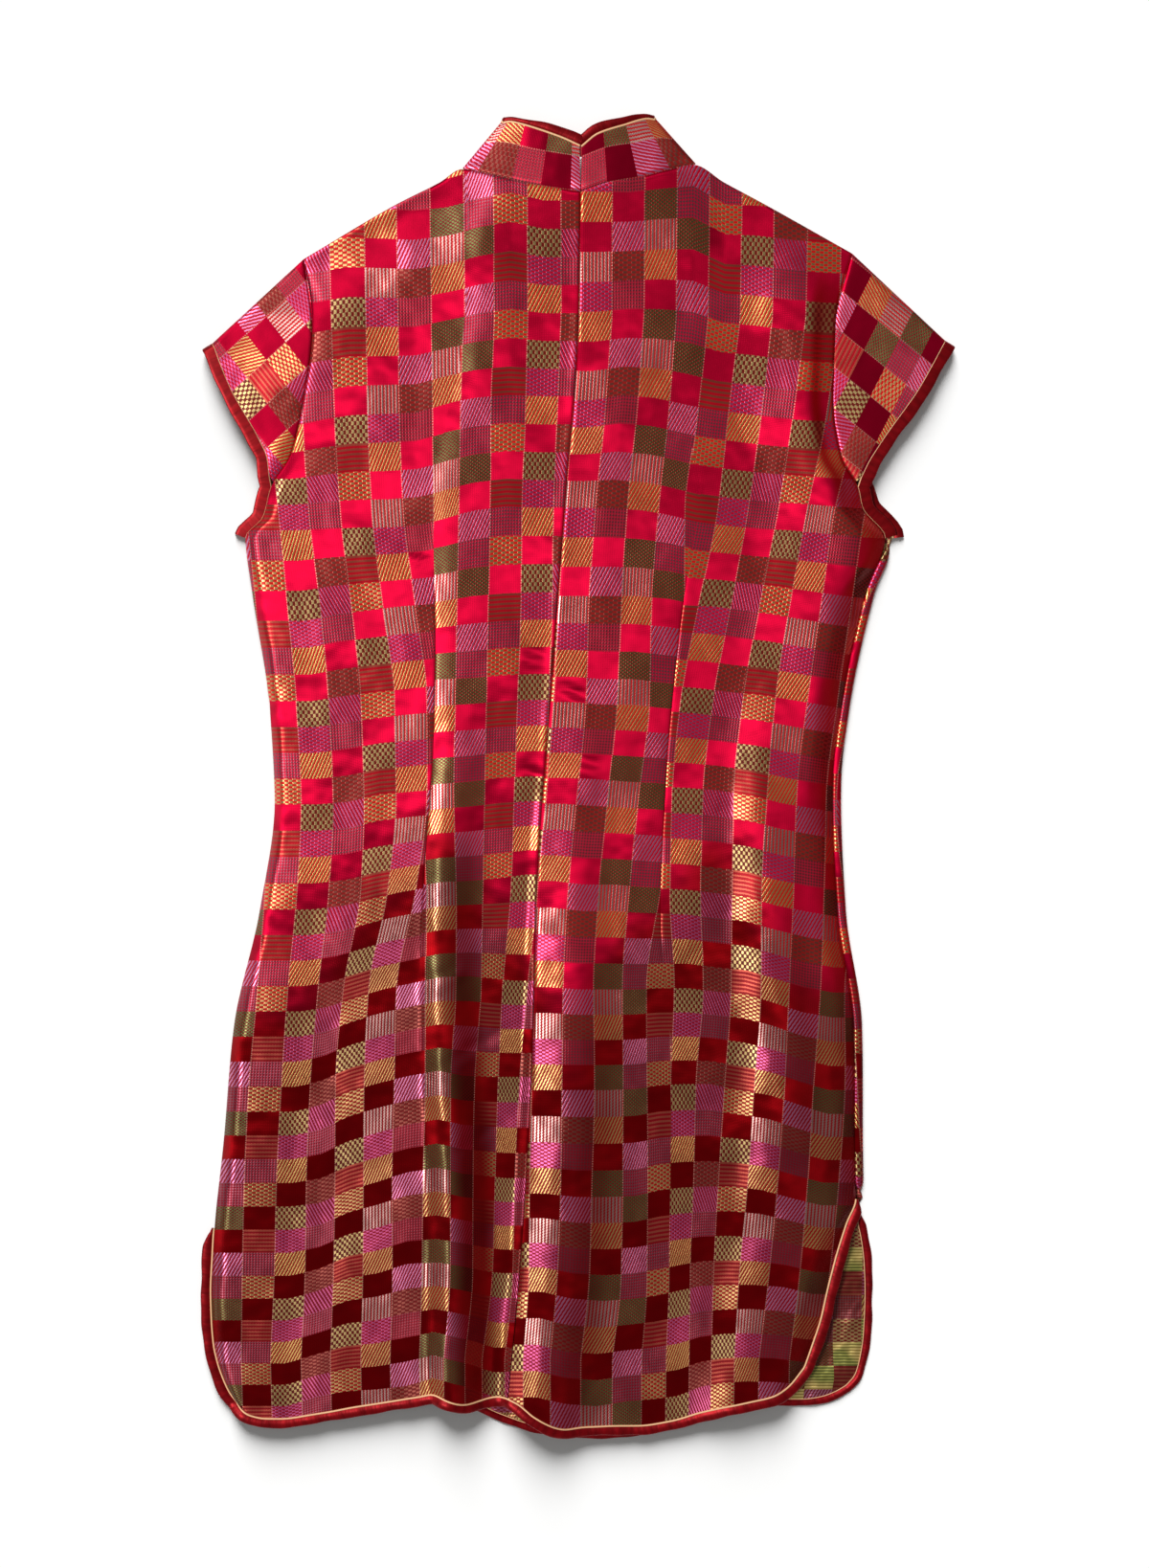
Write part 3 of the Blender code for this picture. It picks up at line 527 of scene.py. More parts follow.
def check_nodes(tree):
    """The weave under each point.

    Gives the ground's and the figure's colours, the figure's share, how metallic and how rough the yarns
    are, and the place in the check, across and down.
    """
    uv = node(tree, "UVMap", {}, uv_map="chart")
    across = node(tree, "Math", {0: node(tree, "SeparateXYZ", {0: uv}, 0), 1: 0.5}, operation="ADD")
    down = node(tree, "Math", {0: node(tree, "SeparateXYZ", {0: uv}, 1), 1: 0.5}, operation="ADD")
    column = node(tree, "Math", {0: across}, operation="FLOOR")
    column = node(tree, "Math", {0: column, 1: 8.0}, operation="FLOORED_MODULO")
    row = node(tree, "Math", {0: down}, operation="FLOOR")
    row = node(tree, "Math", {0: row, 1: 4.0}, operation="FLOORED_MODULO")
    cell = node(tree, "Math", {0: row, 1: 8 / len(REPEAT), 2: 0.5 / len(REPEAT)}, operation="MULTIPLY_ADD")
    cell = node(tree, "Math", {0: column, 1: 1 / len(REPEAT), 2: cell}, operation="MULTIPLY_ADD")
    # Thread counts and shares are packed into colours between 0 and 1, and unpacked by the ranges below.
    tables = []
    for pick in (
        lambda weave: (*linear(weave[0])[:3], weave[1]),
        lambda weave: (*linear(weave[2])[:3], weave[3]),
        lambda weave: [n / (2 * MOST_THREADS) + 0.5 for n in weave[4]],
        lambda weave: (*[n / (2 * MOST_SHOWN) + 0.5 for n in weave[5]], weave[6]),
    ):
        ramp = tree.nodes.new("ShaderNodeValToRGB")
        ramp.color_ramp.interpolation = "CONSTANT"
        tree.links.new(cell, ramp.inputs[0])
        for k, name in enumerate(REPEAT):
            stops = ramp.color_ramp.elements
            stop = stops[k] if k < 2 else stops.new(k / len(REPEAT))
            stop.position = k / len(REPEAT)
            stop.color = pick(WEAVES[name])
        tables.append(ramp.outputs)
    ground, figure = tables[0][0], tables[1][0]
    counts = [node(tree, "SeparateXYZ", {0: tables[2][0]}, k) for k in range(3)] + [tables[2][1]]
    shares = [node(tree, "SeparateXYZ", {0: tables[3][0]}, k) for k in range(3)]
    most = MOST_THREADS * math.tau
    counts = [node(tree, "MapRange", {0: n, 3: -most, 4: most}, clamp=False) for n in counts]
    shares = [node(tree, "MapRange", {0: n, 3: -MOST_SHOWN, 4: MOST_SHOWN}, clamp=False) for n in shares]
    total = shares[2]
    for k in (0, 1):
        turn = node(tree, "Math", {0: down, 1: counts[2 * k + 1]}, operation="MULTIPLY")
        turn = node(tree, "Math", {0: across, 1: counts[2 * k], 2: turn}, operation="MULTIPLY_ADD")
        wave = node(tree, "Math", {0: turn}, operation="SINE")
        total = node(tree, "Math", {0: wave, 1: shares[k], 2: total}, operation="MULTIPLY_ADD")
    share = node(tree, "MapRange", {0: total, 1: -0.25, 2: 0.25}, interpolation_type="SMOOTHSTEP")
    metal = node(tree, "MapRange", {0: share, 3: tables[0][1], 4: tables[1][1]})
    return ground, figure, share, metal, tables[3][1], across, down


brocade, tree, shader = material("check_brocade")
ground, figure, share, metal, rough, across, down = check_nodes(tree)
place = node(tree, "TexCoord", {}, 3)
# Painted shade: where the skirt slopes away from the light below the hips, the satin cells and the red warp
# behind the others are painted a dark crimson. The line where that painted shade begins waves with the folds,
# every 22 cm.
painted_shade_line = node(tree, "SeparateXYZ", {0: place})
painted_shade_line = node(tree, "Math", {0: painted_shade_line, 1: math.tau / 0.22, 2: -0.143}, operation="MULTIPLY_ADD")
painted_shade_line = node(tree, "Math", {0: painted_shade_line}, operation="COSINE")
painted_shade_line = node(tree, "Math", {0: painted_shade_line, 1: 0.065}, operation="MULTIPLY")
painted_shade_line = node(tree, "Math", {0: node(tree, "SeparateXYZ", {0: place}, 1), 1: painted_shade_line}, operation="ADD")
cloud = node(tree, "TexNoise", {"Vector": place, "Scale": 16.0, "Detail": 2.0})
painted_shade_line = node(tree, "Math", {0: cloud, 1: 0.14, 2: painted_shade_line}, operation="MULTIPLY_ADD")
lit = node(tree, "MapRange", {0: painted_shade_line, 1: -0.075, 2: 0.035}, interpolation_type="SMOOTHSTEP")
satin = node(tree, "Math", {0: rough, 1: SATIN_ROUGHNESS}, operation="GREATER_THAN")
# Painted shade: where unlit, the ground yarn is darkened towards a dark red.
shaded = node(tree, "MapRange", {0: lit, 3: 0.65, 4: 0.0})
ground = node(tree, "Mix", {0: shaded, 6: ground, 7: linear("4A0408")}, 2, data_type="RGBA")
# Painted shade: where unlit, the satin cells are darkened to a dark crimson.
painted_satin_shade = node(tree, "Math", {0: 1.0, 1: lit}, operation="SUBTRACT")
painted_satin_shade = node(tree, "Math", {0: satin, 1: painted_satin_shade}, operation="MULTIPLY")
woven = node(tree, "Mix", {0: share, 6: ground, 7: figure}, 2, data_type="RGBA")
woven = node(tree, "Mix", {0: painted_satin_shade, 6: woven, 7: linear("7C0006")}, 2, data_type="RGBA")
# Painted sheen: a random mottle, lighter and darker over about 3 cm, stands for the silk's uneven shine and
# keeps neighbouring cells from matching exactly.
painted_sheen_mottle = node(tree, "TexNoise", {"Vector": place, "Scale": 34.0, "Detail": 3.0})
painted_sheen_mottle = node(tree, "MapRange", {0: painted_sheen_mottle, 1: 0.3, 2: 0.7, 3: 0.84, 4: 1.1})
painted_sheen_mottle = node(tree, "CombineColor", {0: painted_sheen_mottle, 1: painted_sheen_mottle, 2: painted_sheen_mottle})
woven = node(tree, "Mix", {0: 1.0, 6: woven, 7: painted_sheen_mottle}, 2, data_type="RGBA", blend_type="MULTIPLY")
# Painted shade: where a fold turns from the window, the colour is multiplied by a red tint, so only the red
# warp seems to answer the light and the wefts' colours sink into it.
turned = node(tree, "SeparateXYZ", {0: node(tree, "TexCoord", {}, 1)})
turned = node(tree, "MapRange", {0: turned, 1: 0.2, 2: 0.5})
# The red tint of the painted shade on folds turned from the window.
painted_shade_tint = linear("E04C60")
woven = node(tree, "Mix", {0: turned, 6: woven, 7: painted_shade_tint}, 2, data_type="RGBA", blend_type="MULTIPLY")
# A pale thread runs up every column edge in broken stitches.
edge = node(tree, "Math", {0: across, 1: 1.0}, operation="PINGPONG")
edge = node(tree, "Math", {0: edge, 1: 0.5}, operation="SUBTRACT")
edge = node(tree, "Math", {0: edge}, operation="ABSOLUTE")
edge = node(tree, "Math", {0: edge, 1: 0.483}, operation="GREATER_THAN")
stitch = node(tree, "Math", {0: down, 1: 11 * math.tau}, operation="MULTIPLY")
stitch = node(tree, "Math", {0: stitch}, operation="SINE")
stitch = node(tree, "Math", {0: stitch, 1: -0.2}, operation="GREATER_THAN")
thread = node(tree, "Math", {0: edge, 1: stitch}, operation="MULTIPLY")
thread = node(tree, "Math", {0: thread, 1: 0.4}, operation="MULTIPLY")
woven = node(tree, "Mix", {0: thread, 6: woven, 7: linear("E0A090")}, 2, data_type="RGBA")
tree.links.new(woven, shader.inputs["Base Color"])
tree.links.new(rough, shader.inputs["Roughness"])
# Soft dents, a few centimetres across, are left in the silk by folding and handling.
dents = node(tree, "TexNoise", {"Vector": place, "Scale": 24.0, "Detail": 2.0, "Roughness": 0.45})
dents = node(tree, "Bump", {"Height": dents, "Strength": 1.0, "Distance": 0.0035})
relief = node(tree, "Bump", {"Height": share, "Strength": 0.35, "Distance": 0.0003, "Normal": dents})
tree.links.new(relief, shader.inputs["Normal"])
tree.links.new(metal, shader.inputs["Metallic"])
shader.inputs["Specular IOR Level"].default_value = 0.15
# Threads blur a reflection across themselves: the warp runs down in the satin, the weft across elsewhere.
shader.inputs["Anisotropic"].default_value = 0.85
quarter = node(tree, "MapRange", {0: satin, 3: 0.25, 4: 0.0})
tree.links.new(quarter, shader.inputs["Anisotropic Rotation"])
tangent = node(tree, "Tangent", {}, direction_type="UV_MAP", uv_map="chart")
tree.links.new(tangent, shader.inputs["Tangent"])

# The wrong side is the face turned over: gilt and olive wefts float behind the red satin cells, and red
# warp shows behind the others. The floats are drawn 2.6 mm apart.
brocade_wrong, tree, shader = material("check_brocade_wrong_side")
_, figure, share, _, rough, _, down = check_nodes(tree)
place = node(tree, "TexCoord", {}, 3)
satin = node(tree, "Math", {0: rough, 1: SATIN_ROUGHNESS}, operation="GREATER_THAN")
floats = node(tree, "Math", {0: down, 1: 8 * math.tau}, operation="MULTIPLY")
floats = node(tree, "Math", {0: floats}, operation="SINE")
tone = node(tree, "MapRange", {0: floats, 1: -0.5, 2: 0.5})
olive = node(tree, "Mix", {0: tone, 6: linear("5A5C28"), 7: linear("A8A454")}, 2, data_type="RGBA")
gilt = node(tree, "Mix", {0: tone, 6: linear("9C8240"), 7: linear("E0C47C")}, 2, data_type="RGBA")
dyed = node(tree, "TexNoise", {"Vector": place, "Scale": 42.0, "Detail": 0.0})
dyed = node(tree, "MapRange", {0: dyed, 1: 0.42, 2: 0.58})
gilt = node(tree, "Mix", {0: dyed, 6: olive, 7: gilt}, 2, data_type="RGBA")
behind = node(tree, "Mix", {0: 0.5, 6: figure, 7: linear("4A3010")}, 2, data_type="RGBA")
behind = node(tree, "Mix", {0: share, 6: behind, 7: linear("700A10")}, 2, data_type="RGBA")
turned = node(tree, "Mix", {0: satin, 6: behind, 7: gilt}, 2, data_type="RGBA")
tree.links.new(turned, shader.inputs["Base Color"])
dents = node(tree, "TexNoise", {"Vector": place, "Scale": 40.0, "Detail": 2.0})
dents = node(tree, "Bump", {"Height": dents, "Strength": 1.0, "Distance": 0.008})
relief = node(tree, "Bump", {"Height": floats, "Strength": 0.3, "Distance": 0.0003, "Normal": dents})
tree.links.new(relief, shader.inputs["Normal"])
shader.inputs["Metallic"].default_value = 0.6
shader.inputs["Roughness"].default_value = 0.42

GAP = 0.3  # half the opening at the centre back
back_left, dart_left = back_panel(SIDE_LEFT, HEM_LEFT, TOP_LEFT, DART_LEFT, FOLDS_LEFT, (52, 40), -GAP)
back_right, dart_right = back_panel(SIDE_RIGHT, HEM_RIGHT, TOP_RIGHT, DART_RIGHT, FOLDS_RIGHT, (48, 42), GAP)
facing = back_right[:, ::-1]
dart_right = facing.shape[1] - 1 - dart_right
for panel, name, columns, first, wefts, centre, seam, cut_area in (
    (back_left, "back_left", COLUMNS_LEFT, EDGE_LEFT, WEFTS_LEFT, -1, dart_left, 0.221),
    (facing, "back_right", COLUMNS_RIGHT, EDGE_RIGHT, WEFTS_RIGHT, 10, dart_right, 0.229),
):
    charts = [chart(panel, columns, first, wefts, centre, side) for side in (0, 1)]
    piece = cloth(f"{name}_panel", panel, charts, seam, CLOTH, brocade, brocade_wrong)
    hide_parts(name)

# ---- Front panel ------------------------------------------------------------------------------------
# The front, cut in one piece from the same brocade, lies face down on the table. Up the right side its
# edge rolls over to the seam, so a strip of its face shows there, and in the slit its wrong side shows.

FRONT_MIDDLE = 0.4  # height of the middle of its cloth
SETBACK = 6.5  # of the right side seam from the dress's edge
FRONT_INSIDE_LEFT = ((-508, 9), (-465, 7), (-430, 6), (-369, 4), (-338, 1), (-300, 0), (400, 0))  # y, inset
FRONT_SLIT_RIGHT = (  # x, y
    (222.5, -500), (230, -490), (233.5, -475), (235.7, -454), (236.2, -434), (236, -414), (234.7, -394),
    (231.5, -371), (229, -360), (228, -349), (231, -340),
)
FRONT_SETBACK = ((-300, 1), (202, 1), (214, 0.85), (232, 0.4), (255, 0.1), (400, 0))  # y, share
FRONT_HEM = (
    (-268, -508), (-252, -518), (-225, -520), (-150, -509), (-114, -503), (-95, -506), (-80, -515),
    (-60, -525.5), (-30, -535.5), (14, -541), (57, -537.5), (100, -522), (141, -512.5), (164, -512),
    (188, -512), (203, -509.8), (214, -505.5), (222.5, -500),
)
FRONT_TOP = (
    (-201, 396), (-132, 434), (-99, 450), (-83, 458), (-79, 450), (-62, 422), (-35, 401), (2, 394),
    (40, 400), (67, 423), (84, 452), (88, 460), (110, 449), (141, 434), (206, 400),
)
NECK = (-83, 88)  # x of the two ends of the neck seam
SHOULDER_COLUMNS, NECK_COLUMNS = 30, 50
HEM_EASE = 16  # up the right edge, over which it is drawn to the hem's curve
LEAST_ROLL = 0.6  # width of the roll where there is no setback
ROLL_EASE = (14, 24)  # over which its edge starts to roll above the slit, and lies flat again at the armhole
NO_DART = 10**6  # past every column
CELL = (24.0, 20.5)  # width and depth of a cell of the check
CHECK_AT = (56, 3.5, 60)  # a column of the grid, the check's column on it, and y of the check's first row
ROLL = (  # how far in from the edge as shares of the setback, and height, round the rolled edge
    (1.1, 0.4), (0.75, 0.4), (0.4, 0.45), (0.15, 0.8), (0.02, 1.5), (0.02, 2.3), (0.15, 3.1), (0.38, 3.8),
    (0.62, 4.0), (0.82, 3.8), (0.94, 3.2), (0.97, 2.4),
)


def across_front(table, first, last):
    """The front's edge through the points of a table, drawn to its two corners."""
    ends = across_edge(((first[0], 0), (last[0], 0)))
    lift_first, lift_last = first[1] - curve(table, first[0]), last[1] - curve(table, last[0])

    def at(share):
        x = ends(share)[..., 0]
        return np.stack([x, curve(table, x) + lift_first * (1 - share) + lift_last * share], -1)

    return at


def to_hem(x, y):
    """Heights near the right edge, drawn down to the curve of the hem at its corner."""
    return y + (curve(FRONT_HEM, x) - y_right[0]) * np.clip(1 - (y - y_right[0]) / HEM_EASE, 0, 1)


left_shares = levels(FRONT_HEM[0][1], SIDE_LEFT[-1][1])
right_shares = levels(FRONT_HEM[-1][1], SIDE_RIGHT[-1][1])
y_left = FRONT_HEM[0][1] + left_shares * (SIDE_LEFT[-1][1] - FRONT_HEM[0][1])
y_right = FRONT_HEM[-1][1] + right_shares * (SIDE_RIGHT[-1][1] - FRONT_HEM[-1][1])
x_left = curve(SIDE_LEFT, y_left, 1, 0) + curve(FRONT_INSIDE_LEFT, y_left)
setback = SETBACK * curve(FRONT_SETBACK, y_right)
in_slit = y_right < SLIT_TOP
x_right = curve(SIDE_RIGHT, y_right, 1, 0) + setback
x_right = np.where(in_slit, curve(FRONT_SLIT_RIGHT, y_right, 1, 0), x_right)
roll_in, roll_high = np.array(ROLL).T
rolled = smooth((y_right - SLIT_TOP) / ROLL_EASE[0]) * smooth((UNDERARM_Y - y_right) / ROLL_EASE[1] + 0.2)
flat_in = np.linspace(roll_in[0], 0, len(ROLL))
inward = rolled[:, None] * roll_in + (1 - rolled[:, None]) * flat_in
inward *= np.where(in_slit, SETBACK, np.maximum(setback, LEAST_ROLL))[:, None]
raised = FRONT_MIDDLE + rolled[:, None] * (roll_high - FRONT_MIDDLE)
edge_x = x_right - inward[:, 0]
at = np.linspace(0, 1, len(y_left))


def front_side(share):
    """The front's left edge."""
    return np.stack([np.interp(share, at, x_left), np.interp(share, at, y_left)], -1)


def front_inner(share):
    """The edge of the front's flat part on the right, from which the cloth rolls over."""
    return np.stack([np.interp(share, at, edge_x), np.interp(share, at, to_hem(edge_x, y_right))], -1)


hem_edge = across_front(FRONT_HEM, front_side(0.0), front_inner(0.0))
top_edge = across_front(FRONT_TOP, front_side(1.0), front_inner(1.0))
width = edge_x[-1] - x_left[-1]
neck_shares = [(x - x_left[-1]) / width for x in NECK]
across = np.concatenate([
    neck_shares[0] * steps(SHOULDER_COLUMNS)[:-1],
    neck_shares[0] + (neck_shares[1] - neck_shares[0]) * steps(NECK_COLUMNS)[:-1],
    neck_shares[1] + (1 - neck_shares[1]) * steps(SHOULDER_COLUMNS),
])
u, v = np.meshgrid(across, at)
plan = blend(front_side, front_inner, hem_edge, top_edge, u, v)
front = np.concatenate([plan, np.full((*plan.shape[:2], 1), FRONT_MIDDLE)], -1)
round_x = x_right[:, None] - inward
roll = np.stack([round_x, to_hem(round_x, y_right[:, None] + 0 * inward), raised], -1)
front = np.concatenate([front, roll[:, 1:]], 1)
reach = travel(front)
middle, number, first_y = CHECK_AT
check_across = (reach - reach[:, middle, None]) / CELL[0] + number
charts = (np.stack([check_across, (first_y - front[..., 1]) / CELL[1]], -1),) * 2
front_panel = cloth("front_panel", front, charts, NO_DART, CLOTH, brocade_wrong, brocade)
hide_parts("front")

# ---- Hem bindings and piping ------------------------------------------------------------------------
# The hem and both slits are edged with a cream satin piping cord and, outside it, a puffed bias binding
# of red satin, sewn round the cloth's edge.

LEFT_EDGING_Y = -366  # above this the left slit's edging is folded in under the back
SKIRT_MIDDLE = (-20.0, -100.0, 0.0)
PIPING_ACROSS = (-0.1, 1.4)  # the cord's two sides, from the cloth's edge
PIPING_BEHIND = (0.0, 0.7)  # what shows of the front's cord, which is on the face, under the cloth
PIPING_HEIGHT = 0.45  # of the cord's middle above the middle of the cloth
TRIM_STEP = 3.0  # between sections
POINT = (0.1, 0.7)  # a tapered end's share of the width, and the power that blunts it
PULL = ((0.04, 9.7, 0), (0.03, 4.3, 1), (0.02, 23, 2))  # waves in the binding's width, as shares of it
SWELL = ((0.16, 3.1, 0), (0.12, 5.9, 2))  # waves in its height
WAVER = ((0.08, 6.1, 0), (0.06, 4.1, 0))  # waves in the cord's place, across and up
BINDING = (  # section across the binding: distance from the cloth's edge, height from the middle of the cloth
    (0.6, -0.4), (2.8, -0.45), (6.2, -0.45), (8.2, -0.4), (8.9, -0.1), (9.0, 0.3), (8.7, 0.8), (7.7, 1.25),
    (6.2, 1.5), (4.6, 1.5), (3.2, 1.2), (2.1, 0.65), (1.3, 0.2), (0.6, 0.0),
)


def outward(points, inside):
    """Plan directions square to an edge, away from a point inside it."""
    along = np.gradient(points, axis=0)
    out = np.stack([along[:, 1], -along[:, 0], np.zeros(len(points))], -1)
    facing = np.mean(np.sum(out * (points - np.array(inside)), -1))
    return unit(out) * (1 if facing > 0 else -1)


def evenly(line, step):
    """The line's points again at even steps along it."""
    reach = travel(line)
    at = np.linspace(0, reach[-1], int(reach[-1] / step) + 2)
    return np.stack([np.interp(at, reach, line[:, k]) for k in range(3)], -1)


def sweep(name, line, out, sections, finish):
    """A closed strip along a line. A section's points are (distance along out, height square to it)."""
    along = unit(np.gradient(line, axis=0))
    out = unit(out - along * np.sum(out * along, -1, keepdims=True))
    up = np.cross(along, out)
    hand = -1 if up[:, 2].sum() < 0 else 1
    sections = np.broadcast_to(np.asarray(sections, float), (len(line), *np.shape(sections)[-2:]))
    points = line[:, None] + sections[..., :1] * out[:, None] + sections[..., 1:] * hand * up[:, None]
    k = points.shape[1]
    last = (len(line) - 1) * k
    i, j = np.meshgrid(np.arange(0, last, k), np.arange(k), indexing="ij")
    after = (j + 1) % k
    sides = np.stack([i + j, i + after, i + k + after, i + k + j], -1).reshape(-1, 4)
    ends = [list(range(k))[::-1], list(range(last, last + k))]
    faces = sides.tolist() + ends
    solid = points[:-1].reshape(-1, 3)
    corners = points.reshape(-1, 3)[sides[:, :3]]
    turn = np.cross(corners[:, 1] - corners[:, 0], corners[:, 2] - corners[:, 0])
    middle = np.repeat(points[:-1].mean(1), k, 0)
    if np.sum(turn * (solid - middle)) < 0:
        faces = [face[::-1] for face in faces]
    lie = np.stack([travel(points).reshape(-1), np.repeat(travel(line), k)], -1)
    lies = lie[np.concatenate([np.ravel(face) for face in faces])]
    return sewn(name, points.reshape(-1, 3), faces, "strip", lies, (finish,), 60)


def ripple(reach, waves):
    """Waves along a line, each with a size, a length and a start."""
    return sum(size * np.sin(reach / length + start) for size, length, start in waves)


def trim(
    place, stands_for, line, inside=None, out=None, wide=1.0, seed=0.0, taper=None, shown=PIPING_ACROSS
):
    """The binding and piping round an edge of the cloth, puckered a little by their stitches.

    stands_for has their two nodes, wide is a share of the binding's width, seed is where along the stitches
    the line starts, and taper has the lengths over which its two ends narrow.
    """
    if out is None:
        line = evenly(line, TRIM_STEP)
        out = outward(line, inside)
    reach = travel(line) + seed
    pull, swell = ripple(reach, PULL), ripple(reach, SWELL)
    if taper:
        along = reach - seed
        left = np.clip(np.minimum(along / taper[0], (along[-1] - along) / taper[1]), POINT[0], 1)
        wide = wide * left[:, None] ** POINT[1]
    sections = np.repeat(np.array(BINDING)[None], len(line), 0)
    inner = BINDING[0][0]
    sections[..., 0] = inner + (sections[..., 0] - inner) * (wide + pull[:, None])
    sections[..., 1] += swell[:, None] * np.clip(sections[..., 1], 0, 1)
    binding = sweep(f"{place}_satin_binding", line, out, sections, satin_binding)
    low, high = shown
    half = (high - low) / 2
    turns = np.arange(10) / 10 * math.tau
    cord = np.stack([(low + high) / 2 + half * np.cos(turns), PIPING_HEIGHT + half * np.sin(turns)], -1)
    waver = np.stack([ripple(reach, WAVER[:1]), ripple(reach, WAVER[1:])], -1)
    piping = sweep(f"{place}_piping_cord", line, out, cord + waver[:, None], piping_satin)
    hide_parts(stands_for[0])
    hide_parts(stands_for[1])


# Bias-cut polyester satin: a close, smooth shine that breaks into short lines where the stitches pull,
# about every 5 mm along it.
satin_binding, tree, shader = material("red_satin_bias_binding")
lie = node(tree, "UVMap", {}, uv_map="strip")
lie_out = node(tree, "VectorMath", {0: lie, 1: (0.05, 0.22, 0.0)}, operation="MULTIPLY")
pucker = node(tree, "TexNoise", {"Vector": lie_out, "Scale": 1.0, "Detail": 3.0})
tone = node(tree, "MapRange", {0: pucker, 1: 0.3, 2: 0.7})
shade = node(tree, "Mix", {0: tone, 6: linear("6C0208"), 7: linear("8C040E")}, 2, data_type="RGBA")
tree.links.new(shade, shader.inputs["Base Color"])
rough = node(tree, "MapRange", {0: tone, 3: 0.36, 4: 0.46})
tree.links.new(rough, shader.inputs["Roughness"])
relief = node(tree, "Bump", {"Height": pucker, "Strength": 0.5, "Distance": 0.0007})
tree.links.new(relief, shader.inputs["Normal"])
shader.inputs["Metallic"].default_value = 0.55
shader.inputs["Specular IOR Level"].default_value = 0.2

# Cord under cream satin: its threads cross it at a slant every half millimetre, drawn twice as coarse.
piping_satin, tree, shader = material("cream_satin_piping")
lie = node(tree, "UVMap", {}, uv_map="strip")
slant = node(tree, "VectorMath", {0: lie, 1: (0.5, 1.0, 0.0)}, 1, operation="DOT_PRODUCT")
threads = node(tree, "Math", {0: slant, 1: math.tau}, operation="MULTIPLY")
threads = node(tree, "Math", {0: threads}, operation="SINE")
tone = node(tree, "MapRange", {0: threads, 1: -1.0, 2: 1.0})
shade = node(tree, "Mix", {0: tone, 6: linear("D89C6C"), 7: linear("F2C698")}, 2, data_type="RGBA")
tree.links.new(shade, shader.inputs["Base Color"])
relief = node(tree, "Bump", {"Height": threads, "Strength": 0.4, "Distance": 0.0001})
tree.links.new(relief, shader.inputs["Normal"])
shader.inputs["Roughness"].default_value = 0.42

slit = row_of("slit")
left_slit = int(np.argmax(back_left[:, 0, 1] > LEFT_EDGING_Y))
middle_hem = (back_left[0, -1:] + back_right[0, -1:]) / 2
hem_of_back = np.concatenate([
    back_left[left_slit::-1, 0], back_left[0, 1:-1], middle_hem, back_right[0, -2:0:-1],
    back_right[: slit + 1, 0],
])
trim("back_hem", ("hem_binding_back", "hem_piping_back"), hem_of_back, SKIRT_MIDDLE, taper=(16, 10))
hem_of_front = np.concatenate([front[left_slit - 1 :: -1, 0], front[0, 1:-1], front[: slit - 2, -1]])
trim(
    "front_hem", ("hem_binding_front", "hem_piping_front"), hem_of_front, SKIRT_MIDDLE,
    seed=40, wide=0.72, taper=(16, 14), shown=PIPING_BEHIND,
)

# ---- Cap sleeves ------------------------------------------------------------------------------------
# Each short sleeve is cut on the slant of the same brocade and set into the armhole, folded flat along
# the shoulder. Its hem and the underarm are edged like the dress's hem.

SLEEVE_HEM_LEFT = (  # x, y, z up the hem from the underarm to the shoulder fold
    (-230, 237, 7.8), (-231, 250, 8.6), (-238, 267, 9.4), (-256, 300, 10.2), (-263, 317, 10.2),
    (-268, 331, 8.8),
)
SLEEVE_HEM_RIGHT = (
    (216, 236, 7.8), (221, 247, 8.4), (232, 265, 8.8), (257, 301, 8.8), (267, 319, 8.0),
    (275, 334, 6.6),
)
# A cell of the check, its middle, and the steps to the next cell across and down.
SLEEVE_CHECK_LEFT = ((1, 0), (-244.5, 293.3), (-14.5, 18.9), (14.7, 13.0))
SLEEVE_CHECK_RIGHT = ((7, 2), (207.9, 291.5), (-10.6, -21.2), (-16.0, 12.6))
SLEEVE_COLUMNS = 18
FOLD_ROWS = 9  # round the shoulder fold
CHEST_MIDDLE = (0.0, 250.0, 0.0)
SLEEVE_SWELL = 1.0  # how far its back layer rises in the middle
UP_SHOULDER, OFF_SHOULDER = (0.5, 0.86), (0.86, -0.5)  # plan ways out and up, and out and down, on the right


def fold(high, low, out, count):
    """Points round the fold between a back layer's last point and the front layer's first."""
    r = (high[2] - low[2]) / 2
    turns = np.arange(1, count + 1) / (count + 1) * math.pi
    return [(high + low) / 2 + np.append(out * r * math.sin(t), r * math.cos(t)) for t in turns]


def sleeve(back, front_edge, hem_table, side):
    """Grid of a sleeve: rows from the underarm up, over the shoulder fold and down the front layer."""
    share = np.linspace(0, 1, len(back))
    hem_back = through(hem_table, share)
    hem_front = hem_back * (1, 1, 0) + (0, 0, FRONT_MIDDLE)
    up_shoulder = unit(np.array(UP_SHOULDER) * (side, 1))
    columns = []
    for a in steps(SLEEVE_COLUMNS, first=True):
        high, low = back + (hem_back - back) * a, front_edge + (hem_front - front_edge) * a
        high[:, 2] += SLEEVE_SWELL * math.sin(math.pi * a) ** 0.7 * np.sin(math.pi * share**0.6)
        columns.append(np.concatenate([high, fold(high[-1], low[-1], up_shoulder, FOLD_ROWS), low[::-1]]))
    grid = np.stack(columns, 1)
    turned_in(grid[: len(back)], grid[: len(back), :1])
    return grid


